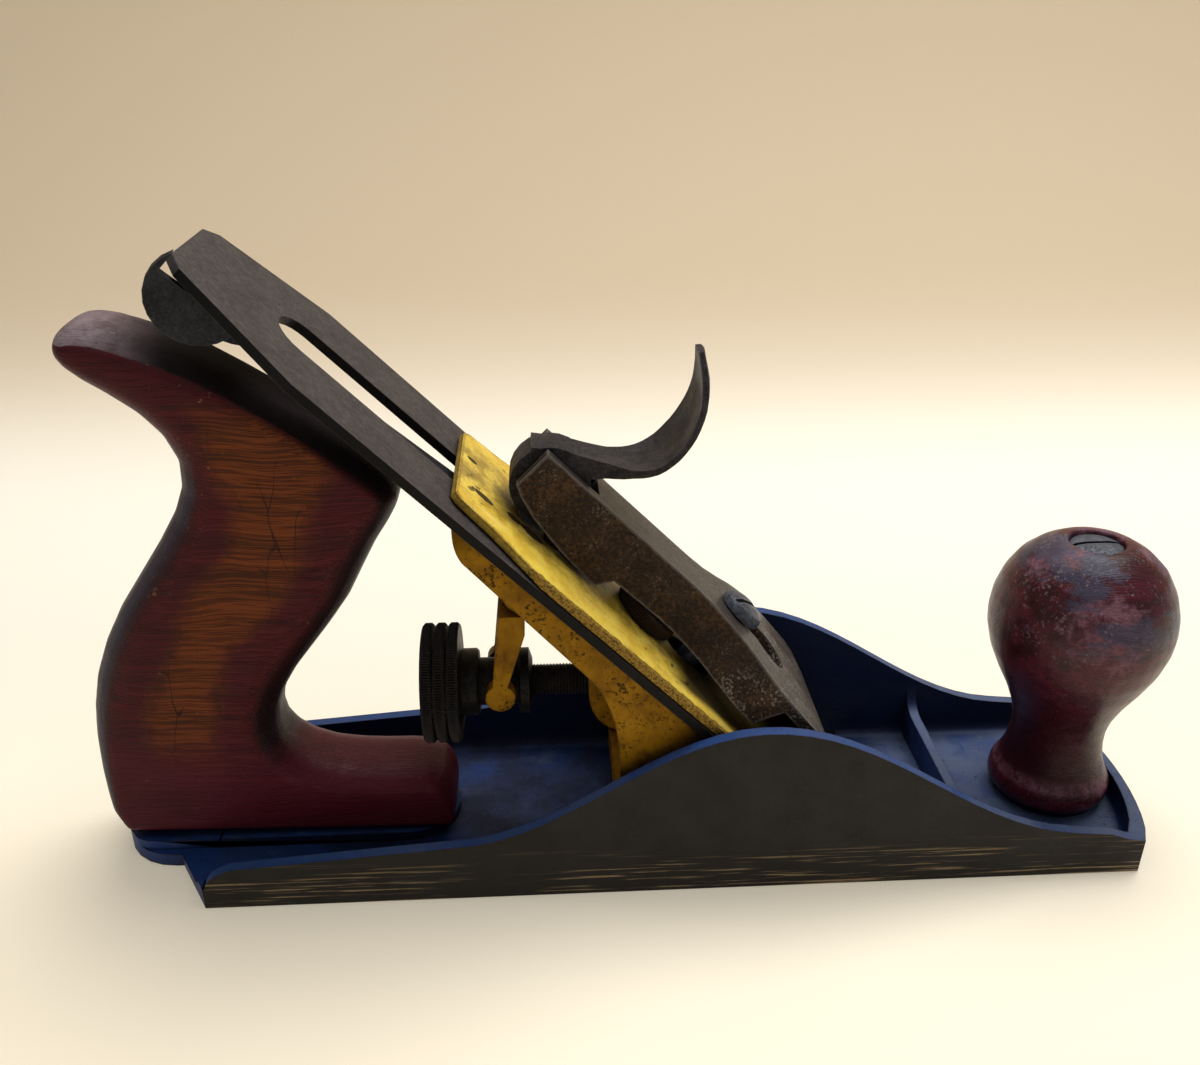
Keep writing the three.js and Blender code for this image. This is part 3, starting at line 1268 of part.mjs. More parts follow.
addPiece(plane, 'yoke_pin', makeYokePin(), plainSteel, 0.5, 0.9);
addPiece(plane, 'cam_lever', makeCamLever(), plainSteel, 0.5, 0.8);
addPiece(lateral, 'lateral_lever', makeLateralLever(), bareSteel, 0.5, 0.9);
addPiece(lateral, 'lateral_roller', makeLateralRoller(), plainSteel, 0.5, 0.9);
addPiece(bed, 'lateral_rivet', makeLateralRivet(), plainSteel, 0.5, 0.9);
addPiece(bed, 'iron', makeIron(), bareSteel, 0.5, 0.9);
addPiece(bed, 'cap_iron', makeCapIron(), capYellow, 0.55, 0.1);
addPiece(bed, 'cap_iron_screw', makeCapScrew(), plainSteel, 0.5, 0.9);
addPiece(bed, 'cap_iron_nut', makeCapNut(), darkSteel, 0.5, 0.9);
addPiece(bed, 'lever_cap', makeLeverCap(), capBrown, 0.6, 0.5);
addPiece(bed, 'lever_cap_screw', makeLeverScrew(), plainSteel, 0.45, 0.9);
addPiece(bed, 'cam_pin', makeCamPin(), plainSteel, 0.5, 0.9);
addPiece(bed, 'lever_cap_spring', makeSpring(), plainSteel, 0.4, 0.9);
addPiece(bed, 'spring_rivet', makeSpringRivet(), plainSteel, 0.5, 0.9);

export default plane;
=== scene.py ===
"""Dresses a smoothing plane's solids: worn paint, stained wood, old steel, and a paper stage."""
import json
import math

import bmesh
import bpy
from bpy.props import FloatProperty, FloatVectorProperty, IntProperty, PointerProperty
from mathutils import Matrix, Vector


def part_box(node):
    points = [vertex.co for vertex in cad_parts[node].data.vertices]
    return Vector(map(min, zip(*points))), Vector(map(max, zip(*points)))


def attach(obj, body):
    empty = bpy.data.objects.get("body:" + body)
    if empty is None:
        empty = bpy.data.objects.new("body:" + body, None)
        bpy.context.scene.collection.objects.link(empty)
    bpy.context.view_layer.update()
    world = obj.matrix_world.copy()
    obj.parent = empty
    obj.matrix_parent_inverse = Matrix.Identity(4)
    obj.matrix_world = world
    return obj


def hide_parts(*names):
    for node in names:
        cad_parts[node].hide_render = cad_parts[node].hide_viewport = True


bl_info = {
    "name": "Smoothing plane dressing",
    "version": (1, 0, 0),
    "blender": (4, 5, 0),
    "location": "3D View > Sidebar > Plane",
    "description": "Builds the finished surfaces of an old smoothing plane over its solids",
    "category": "Add Mesh",
}

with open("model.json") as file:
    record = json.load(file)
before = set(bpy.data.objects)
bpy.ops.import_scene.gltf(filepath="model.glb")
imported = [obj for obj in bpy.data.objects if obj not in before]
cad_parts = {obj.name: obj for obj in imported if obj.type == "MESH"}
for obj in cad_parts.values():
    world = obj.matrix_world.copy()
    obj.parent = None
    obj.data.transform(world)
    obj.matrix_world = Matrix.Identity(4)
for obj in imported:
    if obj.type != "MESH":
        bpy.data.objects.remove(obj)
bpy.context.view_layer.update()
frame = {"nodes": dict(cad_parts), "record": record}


def paint(code):
    """A colour in linear light, as Blender holds it, from its web code."""
    parts = [int(code[k : k + 2], 16) / 255 for k in (1, 3, 5)]
    return tuple(c / 12.92 if c <= 0.04045 else ((c + 0.055) / 1.055) ** 2.4 for c in parts)


# Settings


def length(name, description, default):
    return FloatProperty(name=name, description=description, default=default, min=0.0,
                         unit="LENGTH", precision=5)


def count(name, description, default):
    return IntProperty(name=name, description=description, default=default, min=12)


def shade(name, description, code):
    return FloatVectorProperty(name=name, description=description, default=paint(code),
                               min=0.0, max=1.0, size=3, subtype="COLOR")


class PlaneSizes(bpy.types.PropertyGroup):
    """Small sizes of the looks, in metres, and counts."""

    casting_round: length("Casting edge", "Rounding of the cast body's edges", 0.0005)
    steel_round: length("Steel edge", "Rounding of the steel pieces' edges", 0.00025)
    cast_round: length("Cap edge", "Rounding of the lever cap's and frog's edges", 0.0005)
    wood_step: length("Wood mesh step", "Spacing of the mesh on the wooden handles", 0.0008)
    thread_pitch: length("Thread pitch", "Pitch of the stud's thread", 0.0008)
    wheel_knurls: count("Wheel knurls", "Teeth round the depth wheel", 140)
    nut_knurls: count("Nut knurls", "Teeth round the cap iron's nut", 80)


class PlaneColours(bpy.types.PropertyGroup):
    """Colours of the finishes."""

    blue: shade("Blue paint", "Paint inside the casting", "#1b3c7a")
    blue_dull: shade("Dull blue", "Blue paint where it is thin", "#2b4880")
    # Wear, and painted light on the toe's upward faces
    blue_grey_wear_and_light: shade("Grey blue", "Blue paint rubbed to primer", "#5b6780")
    # A painted highlight on upward-facing rims
    blue_highlight: shade("Bright blue", "Blue paint on raised rims", "#274476")
    # Dirt, and painted shade in hollows, on the floor and on faces turned to the near side
    blue_dirt_and_shade: shade("Deep blue", "Blue paint where it is dirty", "#030a28")
    # Also the iron's painted shadow on the tote's horn
    soot_and_shadow: shade("Soot", "Dark spots on paint and iron", "#0d0b0c")
    iron_bare: shade("Bare iron", "Outside of the cheeks", "#110d0c")
    iron_warm: shade("Warm iron", "Brown tint on the bare iron", "#19130f")
    iron_scratch: shade("Scratches", "Scratches on the bare iron", "#9a8260")
    maroon: shade("Maroon stain", "Stain on the handles", "#4e0f18")
    maroon_deep: shade("Deep maroon", "Stain where it lies thick", "#2e080e")
    knob_stain: shade("Knob stain", "Stain on the front knob", "#521524")
    wood_worn: shade("Worn wood", "Wood where the stain is rubbed off", "#743918")
    wood_brown: shade("Brown wood", "Darker figure of the worn wood", "#4e260d")
    # Also painted shade in hollows and on the tote's back edge
    wood_dark: shade("Dark wood", "Grime in the wood's hollows", "#12070a")
    wood_pale: shade("Pale wear", "Dry worn faces of the wood", "#93878e")
    wood_fleck: shade("Flecks", "Small nicks in the stain", "#a5835c")
    # Wear, and a painted highlight on the knob's crown and front
    wood_rubbed_and_lit: shade("Rubbed stain", "Pinkish wear on the knob", "#8a5f70")
    # A painted blue-grey reflection on the knob and the tote's back edge
    wood_sheen: shade("Cool wear", "Blue-grey wear on the knob", "#3c4058")
    ochre: shade("Ochre paint", "Paint on the frog and yoke", "#a2740f")
    ochre_dull: shade("Dull ochre", "Ochre paint where it is thin", "#7c5408")
    ochre_brown: shade("Stained ochre", "Brown stains on the ochre", "#4a2f0c")
    yellow: shade("Yellow paint", "Paint on the cap iron", "#fada58")
    yellow_dull: shade("Dull yellow", "Yellow paint where it is thin", "#dfb436")
    yellow_pale: shade("Pale yellow", "Brush lines in the yellow", "#fae9a4")
    yellow_stain: shade("Stained yellow", "Oil stain up the cap's middle", "#6a5320")
    chip: shade("Chips", "Metal where the paint is chipped", "#38280f")
    chip_pale: shade("Pale chips", "Rubbed metal in the chips", "#a8842f")
    blade: shade("Blade steel", "Dull steel of the cutting iron", "#3d3839")
    steel: shade("Steel", "Steel of the screws", "#4a505b")
    lever_steel: shade("Lever steel", "Steel of the cam lever", "#292322")
    disc_steel: shade("Disc steel", "Steel of the lateral lever", "#24252a")
    black_steel: shade("Black steel", "Steel of the wheel and stud", "#0c0a0a")
    nut_steel: shade("Nut steel", "Steel of the knurled nut", "#2a1c12")
    # Dirt, and painted shade in corners and on the blade's sides
    steel_grime: shade("Steel grime", "Dirt in the steel's corners", "#0b0908")
    brown: shade("Brown casting", "Patina of the lever cap", "#33241b")
    brown_dull: shade("Dull brown", "Patina where it is thick", "#261912")
    # Also painted shade in hollows and the lever cap's painted shadow on the cap iron
    brown_deep_and_shade: shade("Deep brown", "Dirt in corners", "#150d08")
    rust: shade("Rust", "Rust specks on the lever cap", "#63421e")
    cap_grey: shade("Rubbed cap", "Top of the lever cap", "#403935")
    cap_grey_dull: shade("Dull cap", "Darker parts of the cap's top", "#302a27")
    cap_pale: shade("Pale specks", "Pale specks on the lever cap", "#a39a90")
    cap_rim: shade("Cap rim", "Rubbed rims of the lever cap", "#7d7875")
    wall: shade("Wall", "Paper behind the plane", "#d6c4a8")
    floor_front: shade("Front floor", "Paper in front of the plane", "#f9eed7")
    floor: shade("Floor", "Paper under the plane", "#fdf8ea")
    fibre: shade("Fibre", "Fibres in the paper", "#b7a88e")


# Node wiring


# Where a Mix node keeps its colour sockets: two inputs and the output
MIX_A = 6
MIX_B = 7
MIX_COLOUR = 2


class Wiring:
    """Adds nodes to a tree and joins them, so that a finish reads as a list of steps."""

    def __init__(self, tree):
        self.tree = tree

    def node(self, kind, inputs=None, **settings):
        made = self.tree.nodes.new(kind)
        for key, value in settings.items():
            setattr(made, key, value)
        for key, value in (inputs or {}).items():
            self.feed(made.inputs[key], value)
        return made

    def feed(self, socket, value):
        """Joins a socket to another one, or sets it to a value or to a colour by its key."""
        if isinstance(value, bpy.types.NodeSocket):
            self.tree.links.new(value, socket)
        elif isinstance(value, str):
            socket.default_value = (*getattr(bpy.context.scene.plane_colours, value), 1.0)
        else:
            socket.default_value = value

    def math(self, operation, a, b=0.0, clamp=False):
        return self.node("ShaderNodeMath", {0: a, 1: b}, operation=operation,
                         use_clamp=clamp).outputs[0]

    def times(self, value, *others):
        """The product of one or more values."""
        for other in others:
            value = self.math("MULTIPLY", value, other)
        return value

    def most(self, value, *others):
        """The largest of one or more values."""
        for other in others:
            value = self.math("MAXIMUM", value, other)
        return value

    def plus(self, a, b):
        return self.math("ADD", a, b)

    def less(self, a, b):
        """The first value less the second."""
        return self.math("SUBTRACT", a, b)

    def sway(self, value, reach):
        """A noise's value, moved from about a half to about nought and scaled."""
        return self.times(self.less(value, 0.5), reach)

    def point(self, x, y, z=0.0):
        return self.node("ShaderNodeCombineXYZ", {"X": x, "Y": y, "Z": z}).outputs[0]

    def turn(self, operation, a, b=(0.0, 0.0, 0.0)):
        """A vector operation's result, a number or a vector."""
        made = self.node("ShaderNodeVectorMath", {0: a, 1: b}, operation=operation)
        return made.outputs["Value" if operation in ("DOT_PRODUCT", "LENGTH") else "Vector"]

    def blend(self, share, a, b):
        """The colour a, with b laid over it by a share."""
        return self.node("ShaderNodeMix", {0: share, MIX_A: a, MIX_B: b},
                         data_type="RGBA").outputs[MIX_COLOUR]

    def tint(self, base, colour, *shares):
        """The base colour, with another laid over it by the product of some shares."""
        return self.blend(self.times(*shares), base, colour)

    def between(self, value, low, high, start=0.0, end=1.0):
        """Eases from start to end while the value goes from low to high."""
        return self.node("ShaderNodeMapRange", {"Value": value, "From Min": low, "From Max": high,
                                                "To Min": start, "To Max": end},
                         interpolation_type="SMOOTHSTEP").outputs["Result"]

    def curve(self, value, points):
        """A value that follows points of (from, to) along a smooth curve."""
        starts, ends = zip(*points)
        low, high = min(ends), max(ends)
        made = self.node("ShaderNodeFloatCurve", {"Value": self.math(
            "DIVIDE", self.less(value, starts[0]), starts[-1] - starts[0], clamp=True)})
        line = made.mapping.curves[0]
        places = [((a - starts[0]) / (starts[-1] - starts[0]), (b - low) / (high - low))
                  for a, b in points]
        line.points[0].location, line.points[-1].location = places[0], places[-1]
        for place in places[1:-1]:
            line.points.new(*place)
        made.mapping.update()
        return self.plus(self.times(made.outputs[0], high - low), low)

    def noise(self, vector, scale, detail=3.0, roughness=0.5):
        return self.node("ShaderNodeTexNoise", {"Vector": vector, "Scale": scale, "Detail": detail,
                                                "Roughness": roughness}).outputs["Fac"]

    def stretched(self, vector, scale):
        return self.node("ShaderNodeMapping", {"Vector": vector, "Scale": scale}).outputs["Vector"]

    def place(self):
        return self.node("ShaderNodeTexCoord").outputs["Object"]

    def axes(self, vector):
        made = self.node("ShaderNodeSeparateXYZ", {"Vector": vector})
        return made.outputs["X"], made.outputs["Y"], made.outputs["Z"]

    def normal(self):
        return self.node("ShaderNodeNewGeometry").outputs["Normal"]

    def effect(self, name, vector, **values):
        """The outputs of a shared effect at a vector, with its sockets set by name."""
        made = self.node("ShaderNodeGroup", {"Vector": vector}, node_tree=effects()[name])
        for key, value in values.items():
            self.feed(made.inputs[key.capitalize()], value)
        return made.outputs

    def mask(self, name, vector, **values):
        return self.effect(name, vector, **values)["Mask"]


class Effect(Wiring):
    """A shared group that takes a vector and numbers by name, and gives numbers."""

    def __init__(self, name, inputs, outputs=("Mask",)):
        super().__init__(bpy.data.node_groups.new(name, "ShaderNodeTree"))
        add = self.tree.interface.new_socket
        add("Vector", in_out="INPUT", socket_type="NodeSocketVector")
        for label, default in inputs.items():
            add(label, in_out="INPUT", socket_type="NodeSocketFloat").default_value = default
        for label in outputs:
            add(label, in_out="OUTPUT", socket_type="NodeSocketFloat")
        self.given = self.node("NodeGroupInput").outputs

    def close(self, **results):
        """Joins the results to the group's outputs, and returns the group."""
        self.node("NodeGroupOutput", results)
        return self.tree


def build_specks():
    """Small spots scattered over a surface."""
    w = Effect("Specks", {"Scale": 900.0, "Coverage": 0.3, "Softness": 0.05})
    fine = w.noise(w.given["Vector"], w.given["Scale"], 4.0, 0.6)
    clumps = w.noise(w.given["Vector"], w.times(w.given["Scale"], 0.12), 2.0)
    value = w.plus(w.times(fine, 0.7), w.times(clumps, 0.3))
    edge = w.between(w.given["Coverage"], 0.0, 1.0, 0.68, 0.34)
    return w.close(Mask=w.between(value, w.less(edge, w.given["Softness"]),
                                  w.plus(edge, w.given["Softness"])))


def build_worn_edges():
    """Where an outer edge is rubbed through, broken up so that it never runs evenly."""
    w = Effect("Worn edges", {"Reach": 0.0012, "Amount": 0.5, "Breakup": 260.0})
    rounded = w.node("ShaderNodeBevel", {"Radius": w.given["Reach"]}, samples=6).outputs[0]
    bend = w.less(1.0, w.turn("DOT_PRODUCT", rounded, w.normal()))
    patch = w.noise(w.given["Vector"], w.given["Breakup"], 5.0, 0.65)
    reached = w.plus(w.times(bend, 3.2), w.sway(patch, 1.6))
    edge = w.between(w.given["Amount"], 0.0, 1.0, 1.1, 0.05)
    only_edges = w.between(bend, 0.004, 0.05)
    return w.close(Mask=w.times(only_edges, w.between(reached, edge, w.plus(edge, 0.22))))


def build_streaks():
    """Long fine lines, for scratches, brush marks and rolled steel."""
    w = Effect("Streaks", {"Across": 900.0, "Along": 20.0, "Lean": 0.0, "Coverage": 0.4},
               ("Mask", "Value"))
    x, y, z = w.axes(w.given["Vector"])
    cos, sin = w.math("COSINE", w.given["Lean"]), w.math("SINE", w.given["Lean"])
    run = w.plus(w.times(x, cos), w.times(z, sin))
    rise = w.less(w.times(z, cos), w.times(x, sin))
    line = w.point(w.times(run, w.given["Along"]), w.times(y, w.given["Across"]),
                   w.times(rise, w.given["Across"]))
    value = w.noise(line, 1.0, 4.0, 0.6)
    edge = w.between(w.given["Coverage"], 0.0, 1.0, 0.72, 0.36)
    return w.close(Value=value, Mask=w.between(value, edge, w.plus(edge, 0.07)))


def build_grime():
    """Darkening in hollows and corners, by ambient occlusion: partly dirt, partly painted shade.
    """
    w = Effect("Dirt and shade", {"Reach": 0.01, "Amount": 0.5})
    open_sky = w.node("ShaderNodeAmbientOcclusion", {"Distance": w.given["Reach"]},
                      samples=8).outputs["AO"]
    patch = w.noise(w.given["Vector"], 140.0, 4.0, 0.6)
    shut = w.plus(w.less(1.0, open_sky), w.sway(patch, 0.5))
    return w.close(Mask=w.times(w.given["Amount"], w.between(shut, 0.25, 0.75)))


def build_grain():
    """Wood grain that runs along X with a gentle wander: its broad figure and its fine pores."""
    w = Effect("Wood grain", {"Pores": 3000.0, "Figure": 300.0}, ("Figure", "Pores"))
    x, y, z = w.axes(w.given["Vector"])
    height = w.plus(z, w.sway(w.noise(w.given["Vector"], 28.0, 2.0), 0.008))

    def lines(count, along):
        line = w.point(w.times(x, along), w.times(y, count), w.times(height, count))
        return w.noise(line, 1.0, 3.0, 0.55)

    return w.close(Figure=lines(w.given["Figure"], 14.0),
                   Pores=w.between(lines(w.given["Pores"], 80.0), 0.47, 0.6))


def build_cracks():
    """A net of hairline cracks, as in old lacquer."""
    w = Effect("Cracks", {"Scale": 260.0, "Width": 0.06})
    bent = w.turn("ADD", w.given["Vector"], w.turn("MULTIPLY", w.node(
        "ShaderNodeTexNoise", {"Vector": w.given["Vector"], "Scale": 220.0}).outputs["Color"],
        (0.004, 0.004, 0.004)))
    cells = w.node("ShaderNodeTexVoronoi", {"Vector": bent, "Scale": w.given["Scale"]},
                   feature="DISTANCE_TO_EDGE").outputs["Distance"]
    faded = w.between(w.noise(w.given["Vector"], 110.0, 3.0), 0.46, 0.6)
    return w.close(Mask=w.times(faded, w.between(cells, w.given["Width"], 0.0)))


EFFECTS = {}


def effects():
    """The shared shader groups, each built once."""
    if not EFFECTS:
        EFFECTS.update(specks=build_specks(), edges=build_worn_edges(), streaks=build_streaks(),
                       grime=build_grime(), grain=build_grain(), cracks=build_cracks())
    return EFFECTS


class Finish(Wiring):
    """A material with its Principled shader, and the wiring to build into it."""

    def __init__(self, name):
        self.material = bpy.data.materials.new(name)
        self.material.use_nodes = True
        super().__init__(self.material.node_tree)
        self.tree.nodes.clear()
        self.shader = self.node("ShaderNodeBsdfPrincipled")
        self.node("ShaderNodeOutputMaterial", {"Surface": self.shader.outputs[0]})

    def surface(self, colour, roughness, height=None, depth=0.0, metallic=0.0, shine=0.25):
        """Joins the results to the shader, and returns the material; depth is in metres."""
        sockets = self.shader.inputs
        sockets["Specular IOR Level"].default_value = shine
        sockets["Metallic"].default_value = metallic
        self.feed(sockets["Base Color"], colour)
        self.feed(sockets["Roughness"], roughness)
        if height is not None:
            bump = self.node("ShaderNodeBump", {"Height": height, "Distance": depth,
                                                "Strength": 1.0})
            self.feed(sockets["Normal"], bump.outputs[0])
        return self.material


# Finishes


# The casting's skin of bare iron: the depths over which it fades in the cheeks and in the sole,
# in metres
CHEEK_SKIN = (0.00035, 0.00015)
SOLE_SKIN = (0.0004, 0.0001)

# Ranges in the casting, in metres: heights of its raised rims, which get a painted highlight, of
# its floor, darkened as painted shade, and of the scratches low on its cheeks; and lengths of the
# floor's painted shade, the toe's painted light, and the heel's end, where the painted shade on
# faces turned to the near side fades out
RIM_HEIGHT = (0.0055, 0.009)
FLOOR_HEIGHT = (0.0062, 0.0042)
SCAR_HEIGHT = (0.015, 0.004)
FLOOR_ENDS = (0.09, 0.06)
TOE_LIGHT = (0.06, 0.085)
HEEL_SHADE = (-0.115, -0.1)


def casting_finish():
    """Blue paint inside the casting, bare dark iron outside it and underneath, with painted
    highlights on its upward rims and toe and painted shade in its hollows, on its floor and on
    faces turned to the near side.
    """
    w = Finish("casting_blue_and_iron")
    place = w.place()
    x, y, z = w.axes(place)
    side = w.math("ABSOLUTE", y)
    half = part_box("body")[1].y
    outside = w.between(side, half - CHEEK_SKIN[0], half - CHEEK_SKIN[1])
    facing = w.axes(w.normal())
    under = w.between(z, *SOLE_SKIN)
    bare = w.most(w.times(outside, w.between(w.math("ABSOLUTE", facing[1]), 0.5, 0.8)), under)
    mottle = w.noise(place, 70.0, 6.0, 0.62)
    # Dirt and painted shade in the casting's hollows
    grime = w.mask("grime", place, reach=0.02, amount=0.9)
    specks = w.mask("specks", place, scale=1500.0, coverage=0.3)
    edges = w.mask("edges", place, reach=0.0011, amount=0.62, breakup=420.0)
    blue = w.blend(w.between(mottle, 0.35, 0.7), "blue", "blue_dull")
    worn = w.between(w.noise(w.stretched(place, (0.5, 1.4, 1.0)), 95.0, 6.0, 0.7), 0.55, 0.66)
    blue = w.tint(blue, "blue_grey_wear_and_light", worn, 0.5)
    # Painted highlight: upward rims low in the casting turn a brighter blue, broken up by noise
    raised = w.times(w.between(facing[2], 0.6, 0.95), w.between(z, *RIM_HEIGHT))
    fresh = w.between(w.noise(place, 130.0, 5.0, 0.7), 0.36, 0.56)
    blue = w.tint(blue, "blue_highlight", raised, fresh)
    blue = w.tint(blue, "blue_dirt_and_shade", grime)
    # Painted shade on the casting's floor, strongest along its middle and broken up by the mottle
    floor = w.times(w.between(z, *FLOOR_HEIGHT), w.between(mottle, 0.3, 0.65, 0.3, 0.9))
    floor = w.times(floor, w.between(w.math("ABSOLUTE", x), *FLOOR_ENDS))
    blue = w.tint(blue, "blue_dirt_and_shade", floor)
    # Painted light: upward faces at the toe turn grey-blue
    lit_toe = w.times(w.between(facing[2], 0.7, 0.95), w.between(x, *TOE_LIGHT))
    blue = w.tint(blue, "blue_grey_wear_and_light", lit_toe, w.between(mottle, 0.3, 0.6, 0.2, 0.7))
    # Painted shade on faces turned to the near side, weaker at the heel's end
    shaded = w.times(w.between(facing[1], -0.3, -0.9), w.between(x, *HEEL_SHADE, 0.1, 0.85))
    blue = w.tint(blue, "blue_dirt_and_shade", shaded)
    blue = w.tint(blue, "soot_and_shadow", specks, 0.5)
    blue = w.tint(blue, "iron_bare", edges, 0.8)
    scratch = w.effect("streaks", place, across=1500.0, along=30.0, coverage=0.5)
    near_foot = w.between(z, *SCAR_HEIGHT)
    foot_patch = w.between(w.noise(w.stretched(place, (0.3, 1.0, 3.5)), 70.0, 4.0), 0.43, 0.54)
    scars = w.times(near_foot, foot_patch, scratch["Mask"])
    iron = w.blend(w.between(mottle, 0.3, 0.75), "iron_bare", "iron_warm")
    iron = w.tint(iron, "soot_and_shadow", scratch["Value"], 0.35)
    iron = w.tint(iron, "iron_scratch", scars, 0.9)
    iron = w.tint(iron, "soot_and_shadow", specks, 0.35)
    colour = w.blend(bare, blue, iron)
    rough = w.between(mottle, 0.3, 0.7, 0.45, 0.65)
    height = w.plus(w.times(mottle, 0.6), w.times(specks, 0.4))
    return w.surface(colour, rough, height, depth=0.00014)


# How deep the grain and the nicks in the wood are, in metres
WOOD_RELIEF = 0.00007

# The rubbed zone on the tote's side: height, middle and half width, in metres
TOTE_RUBBED = ((0.026, -0.103, 0.005), (0.036, -0.104, 0.0075), (0.057, -0.0975, 0.0066),
               (0.074, -0.086, 0.0098), (0.091, -0.0765, 0.0082), (0.109, -0.075, 0.0125),
               (0.121, -0.083, 0.009))

# Heights on the tote, in metres: the rubbed zone's foot and top, the horn's top, the fuller stain
# below, the dark front edge and the back edge in painted shade; and lengths of the horn's dry top
# and of its top painted in the iron's shadow
RUBBED_FOOT = (0.021, 0.03)
RUBBED_TOP = (0.122, 0.112)
HORN_TOP = (0.095, 0.105)
FULL_STAIN = (0.042, 0.024)
FRONT_EDGE = (0.024, 0.034)
BACK_EDGE = (0.112, 0.095)
HORN_DRY = (-0.092, -0.112)
HORN_SHADED = (-0.11, -0.094)


def tote_finish():
    """The tote's maroon stain, rubbed through to brown wood in a band down its sides, with the
    iron's painted shadow on its horn and painted shade and sheen on its back edge.
    """
    w = Finish("tote_stained_wood")
    place = w.place()
    x, _, z = w.axes(place)
    facing = w.axes(w.normal())
    grain = w.effect("grain", place)
    figure = w.between(grain["Figure"], 0.36, 0.68, 0.0, 0.6)
    stain = w.blend(figure, "maroon", "maroon_deep")
    bare = w.blend(figure, "wood_worn", "wood_brown")
    wander = w.sway(w.noise(place, 110.0, 6.0, 0.7), 0.012)
    middle = w.curve(z, [(row[0], row[1]) for row in TOTE_RUBBED])
    reach = w.curve(z, [(row[0], row[2]) for row in TOTE_RUBBED])
    off = w.less(w.math("ABSOLUTE", w.less(w.plus(x, wander), middle)), reach)
    rubbed = w.times(w.between(off, 0.0035, -0.0035), w.between(z, *RUBBED_FOOT),
                     w.between(z, *RUBBED_TOP),
                     w.between(w.math("ABSOLUTE", facing[1]), 0.75, 0.95))
    colour = w.blend(rubbed, stain, bare)
    rim = w.times(w.between(off, -0.0018, 0.0), w.between(off, 0.0026, 0.0),
                  w.between(w.noise(place, 210.0, 5.0, 0.7), 0.46, 0.6))
    colour = w.tint(colour, "wood_dark", rim, 0.35)
    pores = w.times(grain["Pores"], w.between(rubbed, 0.0, 1.0, 0.35, 0.6))
    colour = w.tint(colour, "wood_dark", pores)
    cracks = w.mask("cracks", w.stretched(place, (1.0, 1.0, 0.22)), scale=210.0, width=0.035)
    colour = w.tint(colour, "wood_dark", cracks, rubbed, 0.85)
    flecks = w.mask("specks", place, scale=520.0, coverage=0.06)
    colour = w.tint(colour, "wood_fleck", flecks, 0.8)
    upward = w.times(w.between(facing[2], 0.46, 0.56), w.between(z, *HORN_TOP))
    dry = w.times(upward, w.between(w.noise(place, 240.0, 6.0, 0.72), 0.28, 0.66, 0.35, 1.0),
                  w.between(x, *HORN_DRY))
    # Painted shadow: the horn's top near the iron turns nearly black
    shaded = w.times(upward, w.between(x, *HORN_SHADED))
    colour = w.tint(colour, "soot_and_shadow", shaded, 0.96)
    colour = w.tint(colour, "wood_pale", dry, 0.85)
    low = w.times(w.between(z, *FULL_STAIN), w.between(
        w.noise(w.stretched(place, (0.5, 1.0, 1.0)), 60.0, 4.0), 0.3, 0.6, 0.2, 0.9))
    colour = w.tint(colour, "knob_stain", low)
    # Dirt and painted shade in the tote's hollows
    grime = w.mask("grime", place, reach=0.01, amount=0.8)
    colour = w.tint(colour, "wood_dark", grime)
    front = w.times(w.between(facing[0], 0.12, 0.6), w.between(z, *FRONT_EDGE))
    colour = w.tint(colour, "wood_dark", front, 0.92)
    # Painted shade on the back edge
    back = w.times(w.between(facing[0], -0.1, -0.65), w.between(z, *BACK_EDGE))
    colour = w.tint(colour, "wood_dark", back, 0.7)
    # Painted blue-grey sheen on the back edge
    sheen = w.times(w.between(facing[0], -0.35, -0.6), w.between(facing[0], -0.95, -0.75))
    colour = w.tint(colour, "wood_sheen", back, sheen, 0.4)
    rough = w.plus(w.between(rubbed, 0.0, 1.0, 0.42, 0.55), w.times(shaded, 0.4))
    height = w.less(w.times(grain["Figure"], 0.4), grain["Pores"])
    return w.surface(colour, rough, height, WOOD_RELIEF, shine=0.15)


# Ranges on the knob, in metres: heights of its crown, of the band with its painted blue-grey
# reflection, of its lip and of its neck, the last two from below and from above, and its front
# side that gets a painted highlight, counted from its axis
KNOB_CROWN = (0.045, 0.072)
KNOB_SHEEN = (0.054, 0.062)
KNOB_LIP = ((0.0105, 0.012), (0.0148, 0.0132))
KNOB_NECK = ((0.011, 0.016), (0.048, 0.03))
KNOB_LIT_FRONT = (-0.014, 0.012)


